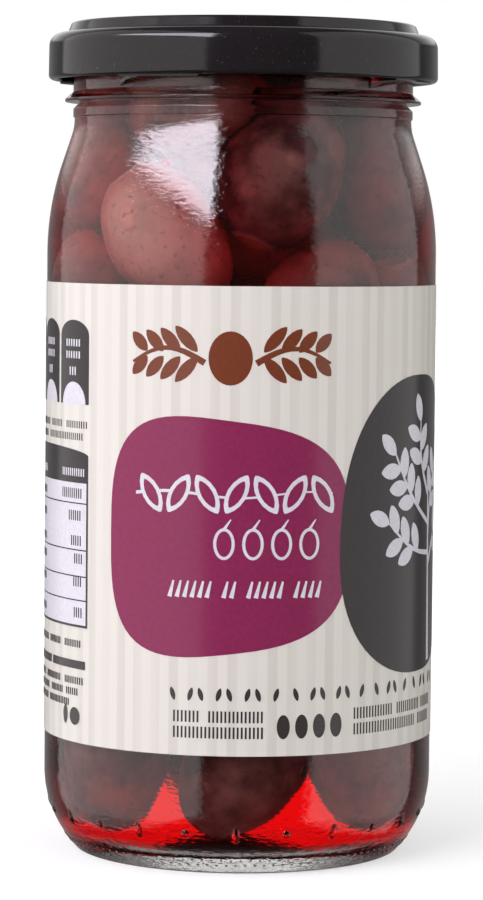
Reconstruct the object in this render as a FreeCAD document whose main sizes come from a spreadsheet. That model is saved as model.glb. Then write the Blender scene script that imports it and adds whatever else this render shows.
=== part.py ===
import FreeCAD, Part
import math
import os
import Sketcher

# A shut glass jar of olives in brine: a blown glass jar with a four-start lug finish, its pressed
# steel twist-off lid, a paper label wrapped once round the body, the brine and the heap of olives.
# Millimetres, +Z up. The origin is on the jar's axis, in the plane of the foot it stands on.

# Driving dimensions: alias, value, meaning.
DIMENSIONS = [
    ("body_radius", 33.25, "outer radius of the glass body"),
    ("wall", 2.3, "glass thickness of body, shoulder and neck"),
    ("rim_height", 139.9, "foot to sealing rim"),
    ("foot_inset", 5.65, "how far the foot ring lies inside the body's outer radius"),
    ("foot_width", 3.4, "radial width of the foot ring"),
    ("foot_rounding", 1.2, "rounding of the foot's outer edge"),
    ("heel_height", 13.5, "height where the heel meets the straight body"),
    ("push_up", 3.2, "rise of the base's underside at the axis"),
    ("base_thickness", 3.4, "glass thickness of the base at the axis"),
    ("floor_fall", 2.2, "how much lower the floor would be where it meets the wall"),
    ("floor_rounding", 11.0, "radius between the floor and the inner wall"),
    ("neck_inset", 4.5, "how far the neck lies inside the body's outer radius"),
    ("shoulder_low_drop", 30.1, "rim down to the shoulder's lower corner, before rounding"),
    ("shoulder_top_drop", 16.6, "rim down to the shoulder's upper corner, before rounding"),
    ("shoulder_bulge", 48.0, "outer radius of the shoulder's convex part"),
    ("shoulder_hollow", 8.0, "outer radius of the shoulder's concave part"),
    ("seam_step", 0.22, "step at the mould's parting line"),
    ("seam_drop", 15.0, "rim down to the parting line"),
    ("groove_depth", 0.9, "depth of the groove under the transfer bead"),
    ("groove_drop", 12.55, "rim down to the upper edge of the groove's slope"),
    ("bead_drop", 12.3, "rim down to the underside of the transfer bead"),
    ("bead_reach", 1.4, "how far the bead stands out from the neck"),
    ("bead_tip", 0.45, "height of the bead's edge"),
    ("bead_slope", 1.25, "height of the bead's sloping top"),
    ("rim_rounding", 0.8, "rounding of the sealing rim"),
    ("lug_count", 4, "thread starts on the glass, and lugs on the lid"),
    ("thread_reach", 2.1, "how far a thread stands out from the neck"),
    ("thread_root", 1.9, "height of a thread at the neck"),
    ("thread_crest", 0.9, "height of a thread at its crest"),
    ("thread_gap", 0.35, "space between the bead and a thread's low end"),
    ("thread_lead", 24.0, "rise of a thread in one full turn"),
    ("thread_rise", 4.0, "rise of a thread from its low end to its high end"),
    ("thread_angle", 226.0, "direction of the first thread's low end, in degrees from +X"),
    ("mark_radius", 0.9, "radius of a raised mould mark on the heel"),
    ("mark_relief", 0.35, "how far a mould mark stands out"),
    ("mark_height", 7.2, "height of the row of mould marks"),
    ("mark_count", 24, "mould marks round the heel"),
    ("steel", 0.22, "sheet thickness of the lid"),
    ("lid_room", 2.13, "how far the lid's skirt stands out from the threads"),
    ("lid_height", 9.7, "overall height of the lid without its lugs"),
    ("lining", 0.88, "thickness of the sealing compound bonded into the lid"),
    ("lid_shoulder_drop", 1.85, "fall from the raised ring to the lid's shoulder"),
    ("lid_corner", 1.8, "radius of the lid's outer corner"),
    ("ring_overhang", 1.03, "how far the raised ring reaches past the neck, before rounding"),
    ("ring_width", 5.0, "width of the raised ring, before rounding"),
    ("ring_slant", 0.7, "how far each flank of the raised ring leans"),
    ("ring_rounding", 0.5, "outer radius of the raised ring's edges"),
    ("panel_drop", 1.0, "fall from the raised ring to the centre panel"),
    ("button_radius", 10.5, "radius of the sunk safety button"),
    ("button_slope", 0.8, "width of the slope round the button"),
    ("button_drop", 0.35, "fall from the centre panel to the button"),
    ("curl_radius", 0.75, "outer radius of the rolled edge"),
    ("curl_flat", 0.3, "flat stretch under the rolled edge"),
    ("curl_return", 1.5, "height of the rolled edge's turned-up end"),
    ("lug_span", 26.0, "angle covered by a lug, in degrees"),
    ("lug_start", 31.0, "angle from a thread's low end to the lug under it, in degrees"),
    ("lug_thickness", 0.6, "thickness of a flattened lug"),
    ("lug_hang", 0.3, "how far a lug hangs below the rolled edge"),
    ("lug_bite", 1.05, "how far a lug reaches in under a thread"),
    ("paper", 0.12, "thickness of the label"),
    ("label_bottom", 20.4, "height of the label's lower edge"),
    ("label_drop", 42.8, "rim down to the label's upper edge"),
    ("label_overlap", 10.0, "angle where the label's two ends overlap, in degrees"),
    ("label_seam", 85.0, "direction where the overlap begins, in degrees from +X"),
    ("brine_gap", 5.8, "space between the brine and the sealing rim"),
    ("olive_length", 25.0, "length of an olive"),
    ("olive_width", 17.6, "width of an olive"),
    ("olive_end", 7.6, "radius of an olive's rounded ends"),
    ("olive_clearance", 0.5, "brine between the heap and the glass"),
    ("olive_layer", 19.5, "height from one layer of olives to the next, at most"),
    ("olive_lean", 22.0, "how far an olive leans in its layer, in degrees"),
    ("olive_unevenness", 0.08, "how much the olives' sizes differ, as a share"),
    ("heap_core", 15.5, "radius of the heap's unseen middle"),
]

doc = FreeCAD.newDocument("OliveJar")
sheet = doc.addObject("Spreadsheet::Sheet", "Dims")
for row, (alias, value, meaning) in enumerate(DIMENSIONS, start=1):
    sheet.set(f"A{row}", alias)
    sheet.set(f"B{row}", str(value))
    sheet.set(f"C{row}", meaning)
    sheet.setAlias(f"B{row}", alias)
doc.recompute()


class Size:
    """A number that keeps the spreadsheet formula it came from, so that sketches follow the sheet."""

    def __init__(self, value, formula=None):
        self.value = float(value)
        self.formula = formula or f"{float(value)!r}"

    def _join(self, other, value, sign):
        return Size(value, f"({self.formula} {sign} {other.formula})")

    def __add__(self, other):
        other = as_size(other)
        return self._join(other, self.value + other.value, "+")

    def __sub__(self, other):
        other = as_size(other)
        return self._join(other, self.value - other.value, "-")

    def __mul__(self, other):
        other = as_size(other)
        return self._join(other, self.value * other.value, "*")

    def __truediv__(self, other):
        other = as_size(other)
        return self._join(other, self.value / other.value, "/")


def as_size(number):
    return number if isinstance(number, Size) else Size(number)


def dim(alias):
    """The named cell of the sheet, as a Size."""
    return Size(sheet.get(alias), f"Dims.{alias}")


AXIS = Size(0)
GROUND = Size(0)
LEVEL_TOLERANCE = 1e-4
RADIUS_TOLERANCE = 1e-3
SLICES = 9


def bow(half_width, rise):
    """The radius of an arc that is level at its crown and falls by rise over half_width."""
    return (half_width * half_width + rise * rise) / (rise * 2)


# ---------------------------------------------------------------- sketch helpers


def new_body(name, label):
    body = doc.addObject("PartDesign::Body", name)
    body.Label = label
    return body


def origin_feature(body, role):
    return next(o for o in body.Origin.OriginFeatures if o.Role == role)


def section_sketch(body, name, turn=None):
    """A sketch in the XZ plane: its x is the radius and its y the height. turn swings it round Z."""
    sketch = body.newObject("Sketcher::SketchObject", name)
    sketch.AttachmentSupport = [(origin_feature(body, "XZ_Plane"), "")]
    sketch.MapMode = "FlatFace"
    if turn is not None:
        sketch.AttachmentOffset = FreeCAD.Placement(
            FreeCAD.Vector(), FreeCAD.Rotation(FreeCAD.Vector(0, 1, 0), turn.value)
        )
        sketch.setExpression("AttachmentOffset.Rotation.Angle", turn.formula)
    return sketch


def bind(sketch, kind, *where, size):
    """Adds a dimensional constraint and ties it to the sheet."""
    index = sketch.addConstraint(Sketcher.Constraint(kind, *where, size.value))
    sketch.setExpression(f"Constraints[{index}]", size.formula)


def pin(sketch, geometry, end, place):
    """Holds one point of the sketch at a radius and a height."""
    radius, height = place
    if radius.value == 0:
        sketch.addConstraint(Sketcher.Constraint("PointOnObject", geometry, end, -2))
    else:
        bind(sketch, "DistanceX", -1, 1, geometry, end, size=radius)
    if height.value == 0:
        sketch.addConstraint(Sketcher.Constraint("PointOnObject", geometry, end, -1))
    else:
        bind(sketch, "DistanceY", -1, 1, geometry, end, size=height)


def vector(place):
    return FreeCAD.Vector(place[0].value, place[1].value, 0)


def rounded_ends(corner, before, after, radius):
    """Where an arc of this radius leaves the two straight lines that meet at corner."""
    to_before = (before - corner).normalize()
    to_after = (after - corner).normalize()
    half = to_before.getAngle(to_after) / 2
    reach = radius / math.tan(half)
    middle = (to_before + to_after).normalize()
    centre = corner + middle * (radius / math.sin(half))
    return corner + to_before * reach, corner + to_after * reach, centre


def arc_between(start, end, centre):
    """The shorter arc from start to end about centre, and whether it runs anticlockwise."""
    turn = (start - centre).cross(end - centre).z
    first, last = (start, end) if turn > 0 else (end, start)
    a = math.atan2(first.y - centre.y, first.x - centre.x)
    b = math.atan2(last.y - centre.y, last.x - centre.x)
    circle = Part.Circle(centre, FreeCAD.Vector(0, 0, 1), (start - centre).Length)
    return Part.ArcOfCircle(circle, a, b), turn > 0


def bowed_centre(start, end, radius):
    """The centre of an arc from start to end; a negative radius bows it the other way."""
    chord = end - start
    side = FreeCAD.Vector(-chord.y, chord.x, 0).normalize()
    depth = math.sqrt(radius * radius - chord.Length ** 2 / 4)
    return start + chord * 0.5 + side * math.copysign(depth, radius)


def outline(sketch, stations):
    """Draws a closed chain of lines and arcs through stations, and constrains it fully.

    A station is a dictionary: at=(radius, height), with round=Size where the corner is rounded,
    and bow=Size (and side=-1 to bow the other way) where the stretch to the next station is an arc.
    """
    count = len(stations)
    places = [vector(s["at"]) for s in stations]
    starts, ends, corners = list(places), list(places), {}
    for i, station in enumerate(stations):
        if "round" in station:
            into, out, centre = rounded_ends(
                places[i], places[i - 1], places[(i + 1) % count], station["round"].value
            )
            ends[i], starts[i], corners[i] = into, out, centre
    stretches = []
    for i in range(count):
        start, end = starts[i], ends[(i + 1) % count]
        if "bow" in stations[i]:
            radius = stations[i]["bow"].value * stations[i].get("side", 1)
            arc, forward = arc_between(start, end, bowed_centre(start, end, radius))
            index = sketch.addGeometry(arc, False)
            bind(sketch, "Radius", index, size=stations[i]["bow"])
            stretches.append((index, 1, 2) if forward else (index, 2, 1))
        else:
            index = sketch.addGeometry(Part.LineSegment(start, end), False)
            stretches.append((index, 1, 2))
    for i, station in enumerate(stations):
        before = stretches[i - 1]
        after = stretches[i]
        if i in corners:
            arc, forward = arc_between(ends[i], starts[i], corners[i])
            index = sketch.addGeometry(arc, False)
            first, last = (1, 2) if forward else (2, 1)
            sketch.addConstraint(
                Sketcher.Constraint("Tangent", before[0], before[2], index, first)
            )
            sketch.addConstraint(
                Sketcher.Constraint("Tangent", index, last, after[0], after[1])
            )
            bind(sketch, "Radius", index, size=station["round"])
            corner = sketch.addGeometry(Part.Point(places[i]), True)
            pin(sketch, corner, 1, station["at"])
            for line in (before[0], after[0]):
                sketch.addConstraint(Sketcher.Constraint("PointOnObject", corner, 1, line))
            continue
        sketch.addConstraint(
            Sketcher.Constraint("Coincident", before[0], before[2], after[0], after[1])
        )
        pin(sketch, after[0], after[1], station["at"])
    return sketch


def revolve(body, name, sketch, angle=None):
    """A full or partial turn of a section about the jar's axis."""
    feature = body.newObject("PartDesign::Revolution", name)
    feature.Profile = (sketch, [""])
    feature.ReferenceAxis = (sketch, ["V_Axis"])
    feature.Angle = 360.0
    if angle is not None:
        feature.setExpression("Angle", angle.formula)
    return feature


def round_the_axis(body, name, original, count):
    """Repeats a feature evenly round the jar's axis."""
    pattern = body.newObject("PartDesign::PolarPattern", name)
    pattern.Originals = [original]
    pattern.Axis = (origin_feature(body, "Z_Axis"), [""])
    pattern.Angle = 360.0
    pattern.setExpression("Occurrences", count.formula)
    body.Tip = pattern
    return pattern


def corner(radius, height, **more):
    return {"at": (radius, height), **more}


# ---------------------------------------------------------------- shared places

foot_radius = dim("body_radius") - dim("foot_inset")
inner_radius = dim("body_radius") - dim("wall")
neck_radius = dim("body_radius") - dim("neck_inset")
neck_bore = neck_radius - dim("wall")
finish_radius = neck_radius + dim("seam_step")
thread_crest_radius = finish_radius + dim("thread_reach")
shoulder_low = dim("rim_height") - dim("shoulder_low_drop")
shoulder_top = dim("rim_height") - dim("shoulder_top_drop")
seam_height = dim("rim_height") - dim("seam_drop")
groove_height = dim("rim_height") - dim("groove_drop")
bead_height = dim("rim_height") - dim("bead_drop")
bead_top = bead_height + dim("bead_tip") + dim("bead_slope")
brine_level = dim("rim_height") - dim("brine_gap")
floor_crown = dim("push_up") + dim("base_thickness")
lid_top = dim("rim_height") + dim("lining") + dim("steel")
lid_bottom = lid_top - dim("lid_height")
lid_radius = thread_crest_radius + dim("lid_room")
lid_ring_radius = finish_radius + dim("ring_overhang")
label_top = dim("rim_height") - dim("label_drop")


def cavity_stations(top):
    """The jar's inner surface from the axis on the floor up to a height in the neck."""
    return [
        corner(AXIS, floor_crown),
        corner(inner_radius, floor_crown - dim("floor_fall"), round=dim("floor_rounding")),
        corner(inner_radius, shoulder_low, round=dim("shoulder_bulge") - dim("wall")),
        corner(neck_bore, shoulder_top, round=dim("shoulder_hollow") + dim("wall")),
        corner(neck_bore, top),
    ]


# ---------------------------------------------------------------- the glass jar


def glass_section(body):
    """The wall of the jar: base, heel, body, shoulder, parting line, bead, neck and rim."""
    foot_inner = foot_radius - dim("foot_width")
    heel_bow = bow(dim("heel_height"), dim("foot_inset"))
    groove_radius = finish_radius - dim("groove_depth")
    bead_radius = finish_radius + dim("bead_reach")
    outside = [
        corner(AXIS, dim("push_up"), bow=bow(foot_inner, dim("push_up")), side=-1),
        corner(foot_inner, GROUND),
        corner(foot_radius, GROUND, bow=heel_bow),
        corner(dim("body_radius"), dim("heel_height")),
        corner(dim("body_radius"), shoulder_low, round=dim("shoulder_bulge")),
        corner(neck_radius, shoulder_top, round=dim("shoulder_hollow")),
        corner(neck_radius, seam_height),
        corner(finish_radius, seam_height + dim("seam_step")),
        corner(finish_radius, groove_height - dim("groove_depth")),
        corner(groove_radius, groove_height),
        corner(groove_radius, bead_height),
        corner(bead_radius, bead_height),
        corner(bead_radius, bead_height + dim("bead_tip")),
        corner(finish_radius, bead_top),
        corner(finish_radius, dim("rim_height"), round=dim("rim_rounding")),
    ]
    inside = cavity_stations(dim("rim_height"))
    inside[-1]["round"] = dim("rim_rounding")
    return outline(section_sketch(body, "GlassSection"), outside + inside[::-1])


def thread_section(body):
    """One thread's trapezium at its low end, rooted halfway into the neck's wall."""
    root = finish_radius - dim("wall") / 2
    crest = thread_crest_radius
    lead_in = (dim("thread_root") - dim("thread_crest")) / 2
    low = bead_top + dim("thread_gap")
    return outline(
        section_sketch(body, "ThreadSection", turn=dim("thread_angle")),
        [
            corner(root, low),
            corner(finish_radius, low),
            corner(crest, low + lead_in),
            corner(crest, low + lead_in + dim("thread_crest")),
            corner(finish_radius, low + dim("thread_root")),
            corner(root, low + dim("thread_root")),
        ],
    )


def glass_jar():
    body = new_body("GlassJar", "glass_jar")
    wall = revolve(body, "GlassWall", glass_section(body))
    doc.recompute()

    foot = body.newObject("PartDesign::Fillet", "FootRounding")
    foot.Base = (wall, [edge_on_circle(wall, foot_radius.value, GROUND.value)])
    foot.setExpression("Radius", dim("foot_rounding").formula)

    thread = body.newObject("PartDesign::AdditiveHelix", "Thread")
    section = thread_section(body)
    thread.Profile = (section, [""])
    thread.ReferenceAxis = (section, ["V_Axis"])
    thread.Mode = 0
    thread.setExpression("Pitch", dim("thread_lead").formula)
    thread.setExpression("Height", dim("thread_rise").formula)
    doc.recompute()
    round_the_axis(body, "Threads", thread, dim("lug_count"))
    doc.recompute()

    mark = body.newObject("PartDesign::AdditiveSphere", "MouldMark")
    mark.setExpression("Radius", dim("mark_radius").formula)
    heel_bow = bow(dim("heel_height"), dim("foot_inset")).value
    below = dim("heel_height").value - dim("mark_height").value
    reach = heel_bow - dim("mark_radius").value + dim("mark_relief").value
    slope = math.asin(below / heel_bow)
    mark.AttachmentOffset = FreeCAD.Placement(
        FreeCAD.Vector(
            dim("body_radius").value - heel_bow + reach * math.cos(slope),
            0,
            dim("heel_height").value - reach * math.sin(slope),
        ),
        FreeCAD.Rotation(),
    )
    mark.AttachmentSupport = [(origin_feature(body, "XY_Plane"), "")]
    mark.MapMode = "FlatFace"
    doc.recompute()
    round_the_axis(body, "MouldMarks", mark, dim("mark_count"))
    return body


def edge_on_circle(feature, radius, height):
    """The name of the feature's edge that is a circle of this radius at this height."""
    for number, edge in enumerate(feature.Shape.Edges, start=1):
        box = edge.BoundBox
        level = max(abs(box.ZMin - height), abs(box.ZMax - height)) < LEVEL_TOLERANCE
        if level and abs(box.XMax - radius) < RADIUS_TOLERANCE:
            return f"Edge{number}"
    raise ValueError(f"{feature.Name} has no edge of radius {radius} at {height}")


# ---------------------------------------------------------------- the lid


def lid_outside():
    """The outer face of the pressed steel, from the button at the axis to the rolled edge."""
    ring_in = lid_ring_radius - dim("ring_width")
    panel = lid_top - dim("panel_drop")
    shoulder = lid_top - dim("lid_shoulder_drop")
    button = panel - dim("button_drop")
    rounding = dim("ring_rounding")
    return [
        corner(AXIS, button),
        corner(dim("button_radius"), button),
        corner(dim("button_radius") + dim("button_slope"), panel),
        corner(ring_in, panel, round=rounding),
        corner(ring_in + dim("ring_slant"), lid_top, round=rounding),
        corner(lid_ring_radius - dim("ring_slant"), lid_top, round=rounding),
        corner(lid_ring_radius, shoulder, round=rounding),
        corner(lid_radius, shoulder, round=dim("lid_corner")),
    ]


def lid_inside():
    """The inner face of the pressed steel, back from the rolled edge to the axis."""
    steel = dim("steel")
    ring_in = lid_ring_radius - dim("ring_width")
    under_panel = lid_top - dim("panel_drop") - steel
    under_shoulder = lid_top - dim("lid_shoulder_drop") - steel
    under_button = under_panel - dim("button_drop")
    tight = dim("ring_rounding") - steel
    wide = dim("ring_rounding") + steel
    seal_in = ring_in + dim("ring_slant") + steel
    seal_out = lid_ring_radius - dim("ring_slant") - steel
    return [
        corner(lid_radius - steel, under_shoulder, round=dim("lid_corner") - steel),
        corner(lid_ring_radius - steel, under_shoulder, round=wide),
        corner(seal_out, lid_top - steel, round=tight),
        corner(seal_in, lid_top - steel, round=tight),
        corner(ring_in + steel, under_panel, round=wide),
        corner(dim("button_radius") + dim("button_slope"), under_panel),
        corner(dim("button_radius"), under_button),
        corner(AXIS, under_button),
    ]


def lid_curl():
    """The rolled edge at the foot of the skirt: down, inward and up, then back along its inside."""
    steel = dim("steel")
    curl_in = lid_radius - dim("curl_radius") * 2 - dim("curl_flat")
    end = lid_bottom + dim("curl_return")
    outer = dim("curl_radius")
    inner = dim("curl_radius") - steel
    return [
        corner(lid_radius, lid_bottom, round=outer),
        corner(curl_in, lid_bottom, round=outer),
        corner(curl_in, end),
        corner(curl_in + steel, end),
        corner(curl_in + steel, lid_bottom + steel, round=inner),
        corner(lid_radius - steel, lid_bottom + steel, round=inner),
    ]


def lid():
    body = new_body("Lid", "lid")
    section = outline(section_sketch(body, "LidSection"), lid_outside() + lid_curl() + lid_inside())
    revolve(body, "LidSteel", section)

    steel = dim("steel")
    seal_in = lid_ring_radius - dim("ring_width") + dim("ring_slant") + steel * 2
    seal_out = lid_ring_radius - dim("ring_slant") - steel * 2
    bond = lid_top - steel / 2
    compound = outline(
        section_sketch(body, "CompoundSection"),
        [
            corner(seal_in, dim("rim_height")),
            corner(seal_out, dim("rim_height")),
            corner(seal_out, bond),
            corner(seal_in, bond),
        ],
    )
    revolve(body, "SealingCompound", compound)

    lug_tip = thread_crest_radius - dim("lug_bite")
    lug_low = lid_bottom - dim("lug_hang")
    lug_section = outline(
        section_sketch(body, "LugSection", turn=dim("thread_angle") + dim("lug_start")),
        [
            corner(lug_tip, lug_low),
            corner(lid_radius - dim("curl_radius"), lug_low),
            corner(lid_radius - dim("curl_radius"), lug_low + dim("lug_thickness")),
            corner(lug_tip, lug_low + dim("lug_thickness")),
        ],
    )
    lug = revolve(body, "Lug", lug_section, angle=dim("lug_span"))
    doc.recompute()
    round_the_axis(body, "Lugs", lug, dim("lug_count"))
    return body


# ---------------------------------------------------------------- the label


def label():
    body = new_body("Label", "label")
    inner = dim("body_radius")
    outer = inner + dim("paper")
    wrap = outline(
        section_sketch(body, "PaperSection"),
        [
            corner(inner, dim("label_bottom")),
            corner(outer, dim("label_bottom")),
            corner(outer, label_top),
            corner(inner, label_top),
        ],
    )
    revolve(body, "Paper", wrap)
    lap = outline(
        section_sketch(body, "LapSection", turn=dim("label_seam")),
        [
            corner(inner + dim("paper") / 2, dim("label_bottom")),
            corner(outer + dim("paper"), dim("label_bottom")),
            corner(outer + dim("paper"), label_top),
            corner(inner + dim("paper") / 2, label_top),
        ],
    )
    revolve(body, "Lap", lap, angle=dim("label_overlap"))
    return body


# ---------------------------------------------------------------- the brine and the olives


def brine_fill():
    """The jar's cavity up to the brine's level, before the olives displace any of it."""
    body = new_body("BrineFill", "brine_fill")
    stations = cavity_stations(brine_level) + [corner(AXIS, brine_level)]
    revolve(body, "Fill", outline(section_sketch(body, "FillSection"), stations))
    return body


def varied(number, spread):
    """A fixed, uneven sequence of values within plus or minus spread."""
    golden = 0.6180339887
    return ((number * golden) % 1.0 - 0.5) * 2 * spread


def room_at(fill, height):
    """The cavity's radius at a height."""
    return fill.Shape.slice(FreeCAD.Vector(0, 0, 1), height)[0].BoundBox.XMax


def ring_radius(fill, height, half_width, half_height):
    """How far from the axis an olive can lie at this height and stay clear of the glass."""
    reach = []
    for number in range(-SLICES, SLICES + 1):
        step = number / (SLICES + 1)
        across = half_width * math.sqrt(1 - step * step)
        reach.append(room_at(fill, height + step * half_height) - across)
    return min(reach) - dim("olive_clearance").value


def olive(number, radius, direction, height, lean):
    """One olive near upright in the heap: a round middle and two narrower round ends."""
    spread = dim("olive_unevenness").value / 2
    share = 1 + varied(number, spread) - spread
    middle = f"Dims.olive_width / 2 * {share:.4f}"
    end = f"Dims.olive_end * {share:.4f}"
    reach = (dim("olive_length").value / 2 - dim("olive_end").value) * share
    outward = FreeCAD.Rotation(FreeCAD.Vector(0, 0, 1), direction)
    tilt = FreeCAD.Rotation(FreeCAD.Vector(1, 0, 0), lean)
    place = outward.multVec(FreeCAD.Vector(radius, 0, height))
    along = (outward * tilt).multVec(FreeCAD.Vector(0, 0, reach))
    balls = []
    for part, size, shift in (("Low", end, -1), ("Mid", middle, 0), ("Top", end, 1)):
        ball = doc.addObject("Part::Sphere", f"Olive{number:02d}{part}")
        ball.setExpression("Radius", size)
        ball.Placement.Base = place + along * shift
        balls.append(ball)
    return balls


def olives(fill):
    """The heap: layers of olives against the glass, each turned half a step from the last."""
    length = dim("olive_length").value
    width = dim("olive_width").value
    lean = dim("olive_lean").value
    tilt = math.radians(lean)
    half_height = math.hypot(length / 2 * math.cos(tilt), width / 2 * math.sin(tilt))
    lowest = floor_crown.value + dim("olive_clearance").value + half_height
    highest = brine_level.value - dim("olive_clearance").value - half_height
    layers = math.ceil((highest - lowest) / dim("olive_layer").value) + 1
    pitch = (highest - lowest) / (layers - 1)
    heap = []
    number = 0
    for layer in range(layers):
        height = lowest + pitch * layer
        ring = ring_radius(fill, height, width / 2, half_height)
        count = int(2 * math.pi * ring / width)
        for place in range(count):
            direction = 360 / count * (place + layer % 2 / 2) + varied(number, 2)
            leaning = lean * (1 if layer % 2 else -1) + varied(number * 3, lean / 3)
            heap += olive(number, ring, direction, height, leaning)
            number += 1
    core = doc.addObject("Part::Cylinder", "HeapCore")
    core.setExpression("Radius", dim("heap_core").formula)
    core.Height = highest - lowest
    core.Placement.Base = FreeCAD.Vector(0, 0, lowest)
    whole = doc.addObject("Part::MultiFuse", "Olives")
    whole.Label = "olives"
    whole.Shapes = heap + [core]
    whole.Refine = False
    return whole


def brine(fill, heap):
    """The brine is what the olives leave of the fill."""
    rest = doc.addObject("Part::Cut", "Brine")
    rest.Label = "brine"
    rest.Base = fill
    rest.Tool = heap
    rest.Refine = False
    return rest


# ---------------------------------------------------------------- build and export

jar = glass_jar()
cap = lid()
wrapper = label()
fill = brine_fill()
doc.recompute()
heap = olives(fill)
doc.recompute()
liquid = brine(fill, heap)
doc.recompute()

for thing in doc.Objects:
    if "Invalid" in thing.State or "Error" in thing.State:
        raise RuntimeError(f"{thing.Name} did not build: {thing.State}")

os.makedirs("parts", exist_ok=True)
for node in (jar, cap, wrapper, liquid, heap):
    shape = node.Shape
    if shape.isNull() or not shape.isValid():
        raise RuntimeError(f"{node.Label} has no sound shape")
    shape.exportStep(f"parts/{node.Label}.step")
    print(node.Label, len(shape.Solids), "solid", round(shape.Volume), "mm3", shape.BoundBox)
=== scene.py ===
# %% [markdown]
# # A shut jar of olives in brine
# A blown glass jar, filled with dark olives in red-brown brine, shut with a black lacquered
# twist-off lid and wrapped in a printed paper label. The construction is already packed as a frame
# of plain solids. This file gives it its looks, one piece at a time, and keeps to the frame's sizes.

# %% Load the frame
import math
import random

import bpy
import numpy as np
from mathutils import Matrix, Vector, noise


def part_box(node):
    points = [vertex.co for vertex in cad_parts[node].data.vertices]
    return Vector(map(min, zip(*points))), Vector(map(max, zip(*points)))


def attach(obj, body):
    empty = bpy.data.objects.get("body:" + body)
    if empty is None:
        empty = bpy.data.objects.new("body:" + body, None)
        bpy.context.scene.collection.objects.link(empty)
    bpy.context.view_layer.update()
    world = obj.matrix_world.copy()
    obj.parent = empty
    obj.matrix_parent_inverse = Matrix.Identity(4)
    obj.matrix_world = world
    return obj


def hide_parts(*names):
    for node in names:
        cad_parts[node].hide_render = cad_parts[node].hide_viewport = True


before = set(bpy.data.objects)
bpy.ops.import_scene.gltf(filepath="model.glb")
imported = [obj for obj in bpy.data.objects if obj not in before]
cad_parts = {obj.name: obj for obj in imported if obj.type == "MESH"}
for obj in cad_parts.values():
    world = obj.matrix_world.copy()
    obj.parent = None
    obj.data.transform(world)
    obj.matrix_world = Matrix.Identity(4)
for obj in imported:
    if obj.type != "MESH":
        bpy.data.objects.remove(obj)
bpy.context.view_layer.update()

MM = 0.001
random.seed(8)

# %% [markdown]
# ## Sizes
# Every size is in millimetres, as on a drawing, and becomes metres where a mesh is made. What the
# frame knows is read from it, so that the looks follow the construction.

# %% Read the main sizes from the frame


def extent(node):
    """A node's lowest and highest corner, in millimetres."""
    low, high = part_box(node)
    return Vector(low) / MM, Vector(high) / MM


glass_high = extent("glass_jar")[1]
lid_low, lid_high = extent("lid")
label_low, label_high = extent("label")
brine_high = extent("brine")[1]

BODY = glass_high.x
RIM = glass_high.z
INNER = brine_high.x
WALL = BODY - INNER
LEVEL = brine_high.z
LABEL_LOW = label_low.z
LABEL_HIGH = label_high.z
PAPER = label_high.x - BODY
LID_RADIUS = lid_high.x
LID_TOP = lid_high.z
print(f"body radius {BODY:.2f}, rim {RIM:.2f}, wall {WALL:.2f}, brine up to {LEVEL:.2f}")
print(f"label {LABEL_LOW:.2f} to {LABEL_HIGH:.2f}, lid radius {LID_RADIUS:.2f}, top {LID_TOP:.2f}")

# %% [markdown]
# ## Tools for turned pieces
# A jar, a lid and an olive are all turned shapes. By hand, you would draw half an outline and use
# Spin. The helpers below do just that: they start from one vertex, extrude it from point to point,
# and spin the line once round the Z axis.

# %% Draw an outline and spin it
TURN = 2 * math.pi
MERGE = 2e-6
STEPS = 192


def clear_selection():
    if bpy.context.mode != "OBJECT":
        bpy.ops.object.mode_set(mode="OBJECT")
    bpy.ops.object.select_all(action="DESELECT")


def edit_new(name):
    """Names the primitive that was just added and opens it for editing."""
    piece = bpy.context.object
    piece.name = piece.data.name = name
    bpy.ops.object.mode_set(mode="EDIT")
    return piece


def trace(name, points):
    """Draws a line through points in millimetres, one extrusion after another."""
    clear_selection()
    bpy.ops.mesh.primitive_plane_add(size=MM)
    piece = edit_new(name)
    bpy.ops.mesh.merge(type="CENTER")
    here = Vector((0, 0, 0))
    for number, point in enumerate(points):
        there = Vector(point) * MM
        if number == 0:
            bpy.ops.transform.translate(value=there)
        else:
            bpy.ops.mesh.extrude_region_move(TRANSFORM_OT_translate={"value": there - here})
        here = there
    return piece


def spin_shut(steps, angle=TURN):
    """Spins what is open for editing, then closes its seam and its poles."""
    bpy.ops.mesh.select_all(action="SELECT")
    bpy.ops.mesh.spin(steps=steps, angle=angle, center=(0, 0, 0), axis=(0, 0, 1))
    bpy.ops.mesh.select_all(action="SELECT")
    bpy.ops.mesh.remove_doubles(threshold=MERGE)
    bpy.ops.mesh.normals_make_consistent(inside=False)
    bpy.ops.object.mode_set(mode="OBJECT")


def lathe(name, outline, steps=STEPS):
    """Spins a half outline of (radius, height) once round."""
    piece = trace(name, [(radius, 0, height) for radius, height in outline])
    spin_shut(steps)
    return piece


def make_active(piece):
    clear_selection()
    piece.select_set(True)
    bpy.context.view_layer.objects.active = piece


def smooth(piece, degrees=35):
    make_active(piece)
    bpy.ops.object.shade_smooth_by_angle(angle=math.radians(degrees))


def apply_modifiers(piece):
    make_active(piece)
    for modifier in list(piece.modifiers):
        bpy.ops.object.modifier_apply(modifier=modifier.name)


def unite(piece, extra):
    """Fuses another closed mesh into a piece."""
    fuse = piece.modifiers.new("fuse", "BOOLEAN")
    fuse.operation = "UNION"
    fuse.solver = "EXACT"
    fuse.object = extra
    apply_modifiers(piece)
    bpy.data.objects.remove(extra)


def join(pieces, name):
    """Joins pieces into the first of them."""
    clear_selection()
    for piece in pieces:
        piece.select_set(True)
    whole = pieces[0]
    bpy.context.view_layer.objects.active = whole
    bpy.ops.object.join()
    whole.name = whole.data.name = name
    return whole


# %% [markdown]
# An outline is a list of corners, and most corners of a glass or pressed part are rounded. The next
# helper replaces each rounded corner by points on an arc that touches both of its straight sides.

# %% Round the corners of an outline
ARC_STEP = math.radians(7)
ARC_CHORD = 1.2


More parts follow.
